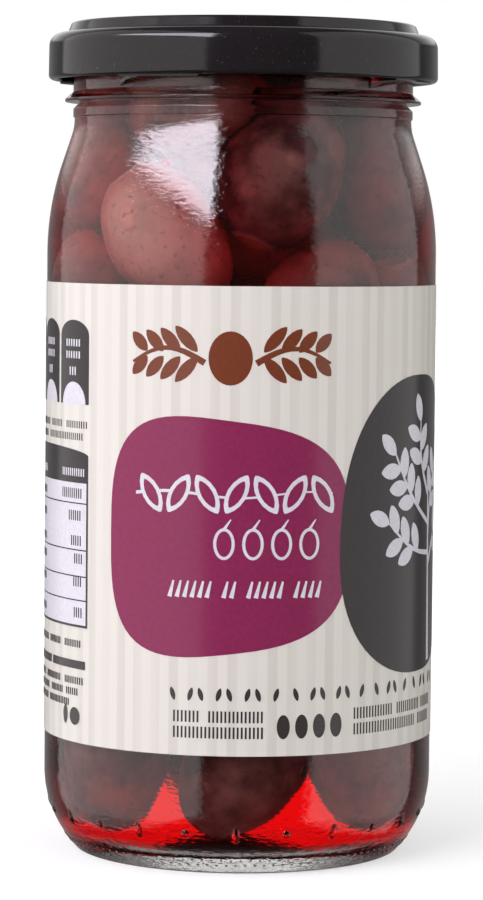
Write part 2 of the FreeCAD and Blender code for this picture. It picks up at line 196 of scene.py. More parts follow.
def rounded(corners):
    """Turns corners (radius, height, rounding) into points, with an arc at each rounded corner."""
    points = []
    count = len(corners)
    for i, (x, z, rounding) in enumerate(corners):
        corner = Vector((x, z))
        if rounding == 0:
            points.append((x, z))
            continue
        before = (Vector(corners[i - 1][:2]) - corner).normalized()
        after = (Vector(corners[(i + 1) % count][:2]) - corner).normalized()
        half = before.angle(after) / 2
        centre = corner + (before + after).normalized() * rounding / math.sin(half)
        start = corner + before * rounding / math.tan(half) - centre
        turn = math.pi - 2 * half
        if before.cross(after) > 0:
            turn = -turn
        steps = max(2, math.ceil(abs(turn) / ARC_STEP), math.ceil(abs(turn) * rounding / ARC_CHORD))
        for step in range(steps + 1):
            angle = turn * step / steps
            spoke = Matrix.Rotation(angle, 2) @ start
            points.append(tuple(centre + spoke))
    return points


def arc(start, end, centre, steps):
    """Points on the arc from start to end about centre, without the end point."""
    first = Vector(start) - Vector(centre)
    last = Vector(end) - Vector(centre)
    turn = -first.angle_signed(last)
    spokes = [Matrix.Rotation(turn * i / steps, 2) @ first for i in range(steps)]
    return [tuple(Vector(centre) + spoke) for spoke in spokes]


# %% [markdown]
# ## The glass jar
# The jar is blown in a mould, so it has a heel, a straight body, a shoulder, a parting line where
# the neck's mould begins, and a bead that the machine holds it by. Its wall is a real thickness,
# because glass only looks like glass when light bends on the way in and on the way out.

# %% Outline of the glass
FOOT_INSET = 5.65
FOOT_WIDTH = 3.4
FOOT_ROUND = 1.0
PUSH_UP = 3.2
HEEL = 13.5
NECK = BODY - 4.5
FINISH = NECK + 0.22
SHOULDER_LOW = RIM - 30.1
SHOULDER_TOP = RIM - 16.6
BULGE = 48.0
HOLLOW = 8.0
SEAM = RIM - 15.0
BEAD_LOW = RIM - 12.3
FLOOR = 5.6
FLOOR_EDGE = 2.9
FLOOR_ROUND = 7.5
RIM_ROUND = 0.8
HEEL_BOW = (HEEL ** 2 + FOOT_INSET ** 2) / (2 * FOOT_INSET)


def outer_glass():
    """The outside from the middle of the base, round the heel and up to the rim."""
    foot = BODY - FOOT_INSET
    foot_in = foot - FOOT_WIDTH
    crown = (foot_in ** 2 + PUSH_UP ** 2) / (2 * PUSH_UP)
    base = arc((0, PUSH_UP), (foot_in, 0), (0, PUSH_UP - crown), 14)
    base[0] = (0, PUSH_UP)
    heel = arc((foot, 0), (BODY, HEEL), (BODY - HEEL_BOW, HEEL), 16)
    soft = rounded([(foot_in, 0, 0), (foot + 0.15, 0, FOOT_ROUND), heel[3] + (0,)])
    upper = rounded([
        (BODY, HEEL, 0),
        (BODY, SHOULDER_LOW, BULGE),
        (NECK, SHOULDER_TOP, HOLLOW),
        (NECK, SEAM, 0.1),
        (FINISH, SEAM + 0.22, 0.1),
        (FINISH, BEAD_LOW - 1.15, 0.5),
        (FINISH - 0.9, BEAD_LOW - 0.25, 0.15),
        (FINISH - 0.9, BEAD_LOW, 0.1),
        (FINISH + 1.4, BEAD_LOW, 0.2),
        (FINISH + 1.4, BEAD_LOW + 0.45, 0.2),
        (FINISH, BEAD_LOW + 1.7, 0.4),
        (FINISH, RIM, RIM_ROUND),
        (NECK - WALL, RIM, 0),
    ])
    return base + soft[:-1] + heel[3:] + upper[:-1]


def inner_glass(outset=0.0, top=RIM):
    """The inside from the top down to the middle of the floor; outset pushes it into the wall."""
    return rounded([
        (NECK - WALL + outset, top, 0),
        (NECK - WALL + outset, SHOULDER_TOP, HOLLOW + WALL - outset),
        (INNER + outset, SHOULDER_LOW, BULGE - WALL + outset),
        (INNER + outset, FLOOR_EDGE - outset, FLOOR_ROUND + outset),
        (0, FLOOR - outset, 0),
    ])


def glass_outline():
    inside = inner_glass()
    inside[0] = (NECK - WALL + RIM_ROUND, RIM)
    inside.insert(1, (NECK - WALL, RIM - RIM_ROUND))
    return outer_glass() + inside


jar = lathe("jar_glass", glass_outline())
print("jar has", len(jar.data.polygons), "faces")


# %% [markdown]
# Four thread ridges climb round the neck under the lid, and their low ends show below it. A ridge is
# a small section that is extruded, turned and raised a step at a time, then fused to the wall.

# %% Thread ridges
THREADS = 4
THREAD_START = 226.0
THREAD_SWEEP = 60.0
THREAD_RISE = 4.0
THREAD_REACH = 2.1
THREAD_STEPS = 20
THREAD_HALF = 0.95
THREAD_FADE = 9.0
THREAD_BLUNT = 0.15
THREAD_LOW = BEAD_LOW + 2.05


def ridge(name, start):
    """One ridge: it fades in and out over its first and last few steps."""
    clear_selection()
    bpy.ops.mesh.primitive_circle_add(
        vertices=10, radius=1, fill_type="NGON", rotation=(math.pi / 2, 0, 0))
    bpy.ops.object.transform_apply(rotation=True)
    piece = edit_new(name)
    root = FINISH * MM
    bpy.ops.transform.resize(value=(THREAD_REACH * MM, 1, THREAD_HALF * MM))
    bpy.ops.transform.translate(value=(root, 0, (THREAD_LOW + THREAD_HALF) * MM))
    turn = Matrix.Rotation(math.radians(start), 4, "Z")
    step = Matrix.Rotation(math.radians(THREAD_SWEEP / THREAD_STEPS), 4, "Z")
    rise = Matrix.Translation((0, 0, THREAD_RISE / THREAD_STEPS * MM))
    bpy.ops.object.mode_set(mode="OBJECT")
    piece.data.transform(turn)
    bpy.ops.object.mode_set(mode="EDIT")
    bpy.ops.mesh.select_all(action="SELECT")
    for number in range(THREAD_STEPS):
        bpy.ops.mesh.extrude_region_move()
        bpy.ops.object.mode_set(mode="OBJECT")
        for vertex in piece.data.vertices:
            if vertex.select:
                vertex.co = step @ rise @ vertex.co
        bpy.ops.object.mode_set(mode="EDIT")
    bpy.ops.object.mode_set(mode="OBJECT")
    for vertex in piece.data.vertices:
        around = (math.degrees(math.atan2(vertex.co.y, vertex.co.x)) - start) % 360
        around = min(around, THREAD_SWEEP) if around < 180 else 0
        from_end = min(around, THREAD_SWEEP - around)
        fade = min(1, from_end / THREAD_FADE + THREAD_BLUNT)
        radius = vertex.co.xy.length
        wanted = root + (radius - root) * fade
        vertex.co.xy *= wanted / radius
    bpy.ops.object.mode_set(mode="EDIT")
    bpy.ops.mesh.select_all(action="SELECT")
    bpy.ops.mesh.normals_make_consistent(inside=False)
    bpy.ops.object.mode_set(mode="OBJECT")
    return piece


for number in range(THREADS):
    unite(jar, ridge(f"ridge_{number}", THREAD_START + 360 / THREADS * number))
print("jar with threads has", len(jar.data.polygons), "faces")

# %% [markdown]
# Low on the heel the mould leaves a row of raised dots and short bars, and round the foot a double
# row of tiny knurls, which keep hot glass off the conveyor. One bead is modelled once, then copied.

# %% Mould marks and knurls
MARKS = 24
MARK_HEIGHT = 7.2
MARK_RADIUS = 0.9
MARK_RELIEF = 0.35
MARK_STRETCH = 1.9
KNURLS = 116
KNURL_RADIUS = 0.34
KNURL_SINK = 0.55
KNURL_ROWS = ((1.5, 0.0), (2.4, 0.5))


def heel_point(height, sink):
    """Radius, height and slope at a point on the heel, sunk into the glass along its normal."""
    slope = math.asin((HEEL - height) / HEEL_BOW)
    reach = HEEL_BOW - sink
    return BODY - HEEL_BOW + reach * math.cos(slope), HEEL - reach * math.sin(slope), slope


def bead(name, radius, segments, rings):
    clear_selection()
    bpy.ops.mesh.primitive_uv_sphere_add(segments=segments, ring_count=rings, radius=radius * MM)
    piece = bpy.context.object
    piece.name = piece.data.name = name
    return piece


def copies(model, name, places):
    """Copies a model to each place, given as a matrix, and joins the copies into one piece."""
    made = []
    for place in places:
        twin = bpy.data.objects.new(name, model.data.copy())
        bpy.context.collection.objects.link(twin)
        twin.data.transform(place)
        made.append(twin)
    bpy.data.objects.remove(model)
    return join(made, name)


def on_heel(angle, height, sink, stretch=1.0):
    """A place on the heel, turned to lie along it; stretch lengthens the bead up the wall."""
    radius, z, slope = heel_point(height, sink)
    turn = Matrix.Rotation(angle, 4, "Z")
    shift = Matrix.Translation((radius * MM, 0, z * MM))
    lie = Matrix.Rotation(slope, 4, "Y")
    return turn @ shift @ lie @ Matrix.Diagonal((1, 1, stretch, 1))


marks = []
for number in range(MARKS):
    stretch = 1.0 if number % 2 else MARK_STRETCH
    marks.append(on_heel(TURN * number / MARKS, MARK_HEIGHT, MARK_RADIUS - MARK_RELIEF, stretch))
unite(jar, copies(bead("mark", MARK_RADIUS, 14, 10), "marks", marks))

knurls = []
for height, shift in KNURL_ROWS:
    for number in range(KNURLS):
        angle = TURN * (number + shift) / KNURLS
        knurls.append(on_heel(angle, height, KNURL_RADIUS * KNURL_SINK))
unite(jar, copies(bead("knurl", KNURL_RADIUS, 8, 5), "knurls", knurls))
smooth(jar)
print("finished jar has", len(jar.data.polygons), "faces")

# %% [markdown]
# ## The brine
# The brine fills the jar to a little under the rim. Its surface reaches a twentieth of a millimetre
# into the glass, so that no film of air is left between them: such a film would look like a mirror.

# %% Fill the jar
INTO_WALL = 0.05

brine = lathe("brine_fill", [(0, LEVEL)] + inner_glass(INTO_WALL, LEVEL))
smooth(brine)
print("brine has", len(brine.data.polygons), "faces")

# %% [markdown]
# ## The olives
# Each olive is a spun outline: a plump end with the round hole where the stone was pushed out, and a
# slimmer end. About fifty of them are packed by a small simulation that works like shaking the jar:
# each olive is three balls in a row, and balls that overlap push each other apart, but never
# through the glass. The ones against the front are set one by one and hardly give way.

# %% Pack the olives
OLIVE_LENGTH = 25.0
OLIVE_WIDTH = 17.6
END_RADIUS = 7.5
CLEAR = 0.35
SHAKES = 900
GIVE = 0.45

# Olives set one by one. Each row has the direction from the front in degrees (right is positive), the
# middle's height, the lean of the top to the right, the lean towards the viewer, size and paleness.
SET_OLIVES = [
    (-29, 103.0, -24, 6, 1.02, 0.95),
    (14, 117.5, 30, 10, 1.06, 0.10),
    (-59, 120.0, 14, 0, 0.98, 0.40),
    (-79, 97.0, 6, 0, 1.00, 0.50),
    (31, 92.0, 34, 0, 0.98, 0.30),
    (66, 115.0, 2, 0, 1.02, 0.22),
    (88, 92.5, -10, 0, 0.98, 0.40),
    (-33, 126.0, -78, 0, 0.88, 0.25),
    (-57, 19.2, 6, 0, 1.02, 0.26),
    (-1, 19.0, -4, 0, 1.04, 0.16),
    (60, 19.2, -6, 0, 1.03, 0.30),
    (124, 19.0, 5, 0, 1.00, 0.15),
    (181, 19.0, -3, 0, 1.00, 0.15),
    (-112, 19.0, 4, 0, 1.00, 0.15),
]
HOLD = 0.05

# The numbers of the olives that show the end with the hole at the bottom.
HOLE_DOWN = (1, 3, 5, 15, 18, 21, 24, 27, 30, 33, 36, 39, 42, 45, 48)
SET_REACH = 21.4
FREE_LAYERS = 5
FREE_RING = 7
FREE_LOW = 37.0
FREE_STEP = 17.0
FREE_REACH = 21.0
FREE_MIDDLE = 1.0
FREE_APART = 13.0
TOP_PLACES = (118, 165, 215, 262)
TOP_REACH = 16.0
TOP_HEIGHT = 121.0


def cavity(height):
    """The cavity's radius at a height, from the inner outline."""
    line = inner_glass()
    heights = [z for _, z in line[::-1]]
    radii = [r for r, _ in line[::-1]]
    return np.interp(height, heights, radii)


def spot(around, reach, height):
    """A place this many degrees round from the front and this far from the axis."""
    angle = math.radians(around)
    return math.sin(angle) * reach, -math.cos(angle) * reach, height


def direction(lean, nod, around):
    """An olive's axis from its leans, turned to its place round the jar."""
    leaning = Matrix.Rotation(math.radians(lean), 3, "Y")
    nodding = Matrix.Rotation(math.radians(nod), 3, "X")
    turned = Matrix.Rotation(math.radians(around), 3, "Z")
    return turned @ (leaning @ nodding) @ Vector((0, 0, 1))


def start_places():
    """Centres, axes, sizes, palenesses and whether each olive is free to move."""
    rows = []
    for around, height, lean, nod, size, pale in SET_OLIVES:
        reach = min(SET_REACH, cavity(height) - CLEAR - OLIVE_WIDTH / 2 * size)
        rows.append((spot(around, reach, height), direction(lean, nod, around), size, pale, False))
    for layer in range(FREE_LAYERS):
        height = FREE_LOW + layer * FREE_STEP
        for place in range(FREE_RING + 1):
            around = 360 / FREE_RING * (place + layer * 0.5)
            reach = FREE_REACH if place < FREE_RING else FREE_MIDDLE
            centre = spot(around, reach, height + random.uniform(-2, 2))
            if any((Vector(centre) - Vector(row[0])).length < FREE_APART for row in rows):
                continue
            axis = direction(random.uniform(-35, 35), random.uniform(-15, 15), around)
            rows.append((centre, axis, random.uniform(0.94, 1.04), random.uniform(0.1, 0.7), True))
    for around in TOP_PLACES:
        centre = spot(around, TOP_REACH, TOP_HEIGHT)
        axis = direction(random.uniform(-60, 60), 0, around)
        rows.append((centre, axis, random.uniform(0.92, 1.0), random.uniform(0.1, 0.6), True))
    return rows


def pack(rows):
    """Pushes overlapping olives apart; returns centres, axes and the deepest overlap left."""
    centres = np.array([row[0] for row in rows], float)
    axes = np.array([row[1] for row in rows], float)
    sizes = np.array([row[2] for row in rows])
    free = np.array([row[4] for row in rows])
    count = len(rows)
    offsets = np.array([-1.0, 0.0, 1.0]) * (OLIVE_LENGTH / 2 - END_RADIUS)
    radii = np.repeat(sizes, 3) * np.tile([END_RADIUS, OLIVE_WIDTH / 2, END_RADIUS], count)
    owner = np.repeat(np.arange(count), 3)
    other = owner[:, None] != owner[None, :]
    weight = np.where(free[owner], 1.0, HOLD)
    for shake in range(SHAKES):
        reaches = offsets[None, :, None] * sizes[:, None, None]
        balls = (centres[:, None, :] + axes[:, None, :] * reaches).reshape(-1, 3)
        gaps = balls[:, None, :] - balls[None, :, :]
        distance = np.linalg.norm(gaps, axis=2) + 1e-9
        overlap = np.clip(radii[:, None] + radii[None, :] - distance, 0, None) * other
        share = weight[:, None] / (weight[:, None] + weight[None, :])
        push = (gaps / distance[:, :, None] * (overlap * share)[:, :, None]).sum(axis=1) * GIVE
        moved = balls + push
        limit = cavity(moved[:, 2]) - CLEAR - radii
        reach = np.linalg.norm(moved[:, :2], axis=1) + 1e-9
        inward = np.minimum(1, np.maximum(limit, 0.5) / reach)
        moved[:, :2] *= inward[:, None]
        moved[:, 2] = np.clip(moved[:, 2], FLOOR + CLEAR + radii, LEVEL - CLEAR - radii)
        moved = moved.reshape(count, 3, 3)
        centres = moved.mean(axis=1)
        axes = moved[:, 2] - moved[:, 0]
        axes /= np.linalg.norm(axes, axis=1)[:, None]
    return centres, axes, overlap.max()


rows = start_places()
centres, axes, worst = pack(rows)
print(len(rows), "olives, deepest overlap", round(float(worst), 2), "mm")
print("middles from", centres[:, 2].min().round(1), "to", centres[:, 2].max().round(1))

# %% [markdown]
# The olive itself is soft fruit: its outline is rounder at the stem end, and every copy is dented a
# little by smooth noise, so that no two are alike. Two numbers are stored on its points for the
# material to read: how pale this olive is, and where the torn flesh round its hole begins.

# %% Model one olive and copy it
HOLE_RADIUS = 2.3
HOLE_DEPTH = 7.0
OLIVE_STEPS = 30
HOLE_TORN = 1.5
PROFILE_POINTS = 22
DENT = 0.45
DENT_SCALE = 0.085


def olive_outline():
    """Half outline of a pitted olive, from the bottom of its hole round to the far tip."""
    half = OLIVE_LENGTH / 2
    skin = []
    start = math.asin(HOLE_RADIUS / (OLIVE_WIDTH / 2))
    for i in range(PROFILE_POINTS + 1):
        angle = start + (math.pi - start) * i / PROFILE_POINTS
        plump = 1 + 0.07 * math.cos(angle)
        radius = OLIVE_WIDTH / 2 * math.sin(angle) ** 0.93 * plump
        skin.append((radius if i < PROFILE_POINTS else 0.0, half * math.cos(angle)))
    hole = [
        (0, half - HOLE_DEPTH),
        (HOLE_RADIUS * 0.7, half - HOLE_DEPTH),
        (HOLE_RADIUS * 0.78, half - 2.4),
        (HOLE_RADIUS * 0.86, half - 1.1),
    ]
    return hole + skin


def one_olive():
    """The model that every olive is copied from, with its two numbers on each point."""
    model = lathe("olive", olive_outline(), OLIVE_STEPS)
    flesh = model.data.attributes.new("flesh", "FLOAT", "POINT")
    pale = model.data.attributes.new("pale", "FLOAT", "POINT")
    for vertex in model.data.vertices:
        depth = OLIVE_LENGTH / 2 - vertex.co.z / MM
        width = vertex.co.xy.length / MM
        torn = 1 - (width - HOLE_RADIUS * 0.9) / HOLE_TORN
        near = depth < HOLE_DEPTH + 1
        flesh.data[vertex.index].value = max(0.0, min(1.0, torn)) if near else 0.0
        pale.data[vertex.index].value = 0.0
    return model


def place_olive(model, number, centre, axis, size, pale):
    """A dented copy of the olive, hole end down or up, in its place in the jar."""
    twin = bpy.data.objects.new("olive_copy", model.data.copy())
    bpy.context.collection.objects.link(twin)
    seed = Vector((number * 3.1, number * 1.7, number * 2.3))
    for vertex in twin.data.vertices:
        point = vertex.co / MM * DENT_SCALE
        swell = noise.noise(point + seed) + 0.35 * noise.noise(point * 2.6 - seed)
        vertex.co += vertex.co.normalized() * swell * DENT * MM
    up = -1 if number in HOLE_DOWN else 1
    aim = (Vector(axis) * up).to_track_quat("Z", "X").to_matrix().to_4x4()
    spin = Matrix.Rotation(random.uniform(0, TURN), 4, "Z")
    twin.data.transform(Matrix.Translation(Vector(centre) * MM) @ aim @ spin @ Matrix.Scale(size, 4))
    tint = twin.data.attributes["pale"]
    tint.data.foreach_set("value", [pale] * len(twin.data.vertices))
    return twin


model = one_olive()
made = []
for number, (row, centre, axis) in enumerate(zip(rows, centres, axes)):
    made.append(place_olive(model, number, centre, axis, row[2] * 0.995, row[3]))
bpy.data.objects.remove(model)
olives = join(made, "olive_heap")
smooth(olives, 50)
print("the heap has", len(olives.data.polygons), "faces")

# %% [markdown]
# ## The lid
# The lid is pressed from one thin sheet of tinplate: a raised ring, a sunk panel with its safety
# button, a rounded shoulder, a plain skirt, and an edge that is rolled inward. Where the roll is
# squeezed flat it makes a lug, and a lug sits under each thread ridge.

# %% Press the lid
STEEL = 0.22
RING_OUT = FINISH + 1.03
RING_IN = RING_OUT - 5.0
RING_SLANT = 0.7
RING_ROUND = 0.55
RING_DROP = 1.85
PANEL_DROP = 1.0
BUTTON = 10.5
BUTTON_DROP = 0.35
LID_CORNER = 2.1
LID_LOW = LID_TOP - 9.7
CURL_ROUND = 0.85
CURL_WIDTH = 1.8
CURL_RETURN = 1.6
SKIRT_LEAN = 0.12


def lid_outline():
    """The sheet's outer face from the axis to the rolled edge, and its inner face back again."""
    panel = LID_TOP - PANEL_DROP
    shoulder = LID_TOP - RING_DROP
    top_radius = LID_RADIUS - SKIRT_LEAN
    outer = [
        (0, panel - BUTTON_DROP, 0),
        (BUTTON, panel - BUTTON_DROP, 0.9),
        (BUTTON + 0.9, panel, 0.9),
        (RING_IN, panel, RING_ROUND),
        (RING_IN + RING_SLANT, LID_TOP, RING_ROUND),
        (RING_OUT - RING_SLANT, LID_TOP, RING_ROUND),
        (RING_OUT, shoulder, RING_ROUND * 0.6),
        (top_radius, shoulder, LID_CORNER),
        (LID_RADIUS, LID_LOW, CURL_ROUND),
        (LID_RADIUS - CURL_WIDTH, LID_LOW, CURL_ROUND),
        (LID_RADIUS - CURL_WIDTH, LID_LOW + CURL_RETURN, 0),
    ]
    inner = [
        (LID_RADIUS - CURL_WIDTH + STEEL, LID_LOW + CURL_RETURN, 0),
        (LID_RADIUS - CURL_WIDTH + STEEL, LID_LOW + STEEL, CURL_ROUND - STEEL),
        (LID_RADIUS - STEEL, LID_LOW + STEEL, CURL_ROUND - STEEL),
        (top_radius - STEEL, shoulder - STEEL, LID_CORNER - STEEL),
        (RING_OUT - STEEL, shoulder - STEEL, RING_ROUND),
        (RING_OUT - STEEL - 0.1, RIM, 0),
        (RING_IN + RING_SLANT + STEEL + 0.1, RIM, 0),
        (RING_IN + STEEL, panel - STEEL, 0.3),
        (BUTTON + 0.9, panel - STEEL, 0.9),
        (BUTTON, panel - BUTTON_DROP - STEEL, 0.9),
        (0, panel - BUTTON_DROP - STEEL, 0),
    ]
    return rounded(outer + inner)


lid = lathe("lid_steel", lid_outline())
print("lid has", len(lid.data.polygons), "faces")

# %% [markdown]
# A lug could be pinched out of the roll, which is fiddly. A small rounded plate that is swept through
# part of a turn and fused to the rolled edge gives the same shape, and one helper makes all four.

# %% Squeeze the lugs
LUG_START = 31.0
LUG_SPAN = 26.0
LUG_LOW = lid_low.z
LUG_THICK = 0.6
LUG_IN = FINISH + THREAD_REACH - 1.05
LUG_OUT = LID_RADIUS - 0.7
LUG_STEPS = 10


def lug(name, start):
    """One flattened lug: a rounded plate swept through part of a turn."""
    plate = rounded([
        (LUG_OUT, LUG_LOW, 0),
        (LUG_OUT, LUG_LOW + LUG_THICK, 0),
        (LUG_IN, LUG_LOW + LUG_THICK, LUG_THICK * 0.45),
        (LUG_IN, LUG_LOW, LUG_THICK * 0.45),
    ])
    piece = trace(name, [(radius, 0, height) for radius, height in plate])
    bpy.ops.mesh.select_all(action="SELECT")
    bpy.ops.mesh.edge_face_add()
    bpy.ops.object.mode_set(mode="OBJECT")
    piece.data.transform(Matrix.Rotation(math.radians(start), 4, "Z"))
    bpy.ops.object.mode_set(mode="EDIT")
    spin_shut(LUG_STEPS, math.radians(LUG_SPAN))
    return piece


for number in range(THREADS):
    unite(lid, lug(f"lug_{number}", THREAD_START + LUG_START + 360 / THREADS * number))
smooth(lid, 30)
print("lid with lugs has", len(lid.data.polygons), "faces")

# %% [markdown]
# ## The label
# A label is printed flat and then wrapped, so it is made that way here too. The paper is a long thin
# strip, and each ink lies on it as a film a fiftieth of a millimetre thick. Everything is joined,
# cut into narrow upright strips so that it can bend, bent round the jar by one Simple Deform, and
# taken apart again by material. The design is plain colour fields, leaves, olives and bars that
# stand where print would be.

# %% Flat shapes for the print
INK = 0.02
INK_LIFT = 0.004


def across(degrees):
    """The place on the flat label, in millimetres, that ends up this far round from the front."""
    return math.radians(degrees) * BODY


def open_sheet(name):
    clear_selection()
    sheet = bpy.data.objects.new(name, bpy.data.meshes.new(name))
    bpy.context.collection.objects.link(sheet)
    bpy.context.view_layer.objects.active = sheet
    sheet.select_set(True)
    bpy.ops.object.mode_set(mode="EDIT")
    return sheet


def tile(left, right, low, high):
    """A plain rectangle in the open sheet, facing the viewer."""
    middle = Vector((left + right, 0, low + high)) / 2 * MM
    bpy.ops.mesh.primitive_plane_add(size=MM, location=middle, rotation=(math.pi / 2, 0, 0))
    stretch = (right - left, 1, high - low)
    bpy.ops.transform.resize(value=stretch, center_override=middle)


def shaped(count, outline):
    """A filled disc in the open sheet whose edge is moved to outline(t), t from 0 to 1."""
    bpy.ops.mesh.primitive_circle_add(
        vertices=count, radius=MM, fill_type="NGON", rotation=(math.pi / 2, 0, 0))
    sheet = bpy.context.object
    bpy.ops.object.mode_set(mode="OBJECT")
    chosen = [vertex for vertex in sheet.data.vertices if vertex.select]
    for number, vertex in enumerate(chosen):
        u, z = outline(number / count)
        vertex.co = Vector((u, 0, z)) * MM
    bpy.ops.object.mode_set(mode="EDIT")


def squared(value, power):
    """A power that keeps the sign: under one it swells a sine or cosine, over one it thins it."""
    return math.copysign(abs(value) ** power, value)


def blob(u, z, half_wide, half_high, power=2.0, narrowing=0.0, count=48):
    """An oval; a higher power squares it, and narrowing makes its right side lower."""
    def outline(t):
        du = squared(math.cos(TURN * t), 2 / power)
        dz = squared(math.sin(TURN * t), 2 / power)
        return u + half_wide * du, z + half_high * dz * (1 - narrowing * du)
    shaped(count, outline)


def leaf(u, z, length, width, degrees, count=16):
    """A pointed leaf that starts at (u, z) and points the way given."""
    turn = Matrix.Rotation(math.radians(degrees), 2)
    def outline(t):
        side, rise = math.cos(TURN * t), math.sin(TURN * t)
        place = turn @ Vector((length / 2 * (1 + side), width / 2 * squared(rise, 1.5)))
        return u + place.x, z + place.y
    shaped(count, outline)


def stem(path, width, count=24):
    """A ribbon along path(t), t from 0 to 1, that thins towards its end."""
    half = count // 2
    def outline(t):
        number = round(t * count)
        back = number >= half
        along = (number if not back else count - 1 - number) / (half - 1)
        here = Vector(path(along))
        ahead = Vector(path(along + 0.01))
        side = (ahead - here).normalized().orthogonal()
        spread = width / 2 * (1 - 0.6 * along)
        place = here + side * (spread if back else -spread)
        return place.x, place.y
    shaped(count, outline)


def dome(u, z, half_wide, high, count=20):
    """A half oval standing on its flat side."""
    def outline(t):
        turn = math.pi * t * count / (count - 1)
        return u + half_wide * math.cos(turn), z + high * math.sin(turn)
    shaped(count, outline)


def words(left, z, lengths, high, gap=0.9):
    """A line of short bars, one for each word."""
    for length in lengths:
        tile(left, left + length, z, z + high)
        left += length + gap


def fine_words(left, z, lengths, high, pitch=0.66, gap=1.3):
    """A line of words, each a run of thin upright strokes."""
    for length in lengths:
        for number in range(round(length / pitch)):
            start = left + pitch * number
            tile(start, start + pitch * 0.48, z, z + high)
        left += length + gap


def slanted_words(left, z, counts, high, pitch=1.25, gap=1.5):
    """A line of words, each a run of leaning strokes."""
    for count in counts:
        for number in range(count):
            start = left + pitch * number
            stem(lambda t, start=start: (start + 0.25 * high * t, z + high * t), 0.75, 8)
        left += pitch * count + gap


def film(sheet, ink, layer):
    """Closes the open sheet: one ink, as thin film, this many films above the paper."""
    bpy.ops.mesh.select_all(action="SELECT")
    bpy.ops.transform.translate(value=(0, -(PAPER + INK * layer + INK_LIFT) * MM, 0))
    bpy.ops.object.mode_set(mode="OBJECT")
    thicken = sheet.modifiers.new("thicken", "SOLIDIFY")
    thicken.thickness = INK * MM
    thicken.offset = 1
    apply_modifiers(sheet)
    sheet.data.materials.clear()
    sheet.data.materials.append(ink)
    return sheet


# %% [markdown]
# The paper goes once round the jar, and its end laps over its beginning at the back, where it is
# glued. A second short strip on top of the first makes the lap. Its material, like that of each ink,
# is still blank, and here only tells the printed pieces apart.

# %% The paper, and a blank material for it and for each ink
paper = bpy.data.materials.new("satin_paper")
plum_ink = bpy.data.materials.new("plum_ink")
charcoal_ink = bpy.data.materials.new("charcoal_ink")
brown_ink = bpy.data.materials.new("brown_ink")
dark_ink = bpy.data.materials.new("dark_ink")
white_ink = bpy.data.materials.new("white_ink")
LAP_FROM = 175
LAP_TO = 185


def paper_strip():
    """The paper, once round, and the end that laps over its beginning."""
    sheet = open_sheet("label_paper")
    for left, right, inner in ((LAP_TO - 360, LAP_TO, 0.0), (LAP_FROM, LAP_TO, PAPER)):
        middle = (across(left) + across(right)) / 2
        bpy.ops.mesh.primitive_cube_add(
            size=MM,
            location=(middle * MM, -(inner + PAPER / 2) * MM, (LABEL_LOW + LABEL_HIGH) / 2 * MM),
            scale=(across(right) - across(left), PAPER, LABEL_HIGH - LABEL_LOW),
        )
    bpy.ops.object.mode_set(mode="OBJECT")
    sheet.data.materials.append(paper)
    return sheet


sheets = [paper_strip()]
print(f"paper {across(LAP_TO) * 2:.0f} mm long, lap {across(LAP_TO) - across(LAP_FROM):.1f} mm")

# %% [markdown]
# Places on the flat label are in millimetres: first from the front's middle, right is positive, then
# up from the foot. The inks are printed one over the other, so each sheet says how high it lies.

# %% Colour fields and ornament
FIELD_COUNT = 72
PEBBLE_U = 37.2
PEBBLE_Z = 57.3
PEBBLE_POWER = 0.82
TAB_EDGE = -28.2
TAB_STEP = 9.7
TAB_WIDE = 8.9
TAB_LOW = 77.0
TAB_HIGH = 88.4
TABLE_RIGHT = -28.2
TABLE_LEFT = TABLE_RIGHT - 31.0
TABLE_LOW = 40.0
TABLE_HEAD = 63.9
TABLE_TOP = 68.4
FRAME = 0.4
ORNAMENT_U = -1.6

sheet = open_sheet("plum")
blob(-1.8, 56.2, 20.9, 19.1, power=3.1, narrowing=0.13, count=FIELD_COUNT)
sheets.append(film(sheet, plum_ink, 0))

sheet = open_sheet("charcoal")


def pebble(t):
    """An egg, widest below its middle."""
    side = squared(math.cos(TURN * t), PEBBLE_POWER)
    rise = squared(math.sin(TURN * t), PEBBLE_POWER)
    return PEBBLE_U + 19.8 * (1 - 0.07 * rise) * side, PEBBLE_Z + 25.0 * rise


shaped(FIELD_COUNT, pebble)
for number in range(3):
    right = TAB_EDGE - TAB_STEP * number
    tile(right - TAB_WIDE, right, TAB_LOW, TAB_HIGH)
    dome(right - TAB_WIDE / 2, TAB_HIGH, TAB_WIDE / 2, 2.6)
tile(TABLE_LEFT, TABLE_RIGHT, TABLE_HEAD, TABLE_TOP)
middle = (TABLE_LEFT + TABLE_RIGHT) / 2
dome(middle, TABLE_TOP, TABLE_RIGHT - middle, 1.5, 40)
sheets.append(film(sheet, charcoal_ink, 1))

sheet = open_sheet("brown")
blob(ORNAMENT_U, 85.4, 3.6, 4.4, count=32)
for side in (1, -1):
    def branch(t, side=side):
        return ORNAMENT_U + side * (4.2 + 12.6 * t), 84.6 + 2.4 * math.sin(math.pi * t)
    stem(branch, 1.1)
    for number in range(4):
        start = ORNAMENT_U + side * (5.4 + 2.9 * number)
        for rise in (1, -1):
            angle = 48 * rise if side > 0 else 180 - 48 * rise
            leaf(start, 86.0 + 0.4 * rise, 5.6 - 0.5 * number, 2.1, angle)
sheets.append(film(sheet, brown_ink, 0))
print("plum, charcoal and brown fields printed")

# %% [markdown]
# The pale print is one ink over the dark fields. A twig is a ribbon along a curve with leaves set on
# it in turn, so a handful of numbers draws each one. A second print of plum puts a heart in each leaf
# and olive of the plum field, which leaves them as outlines.

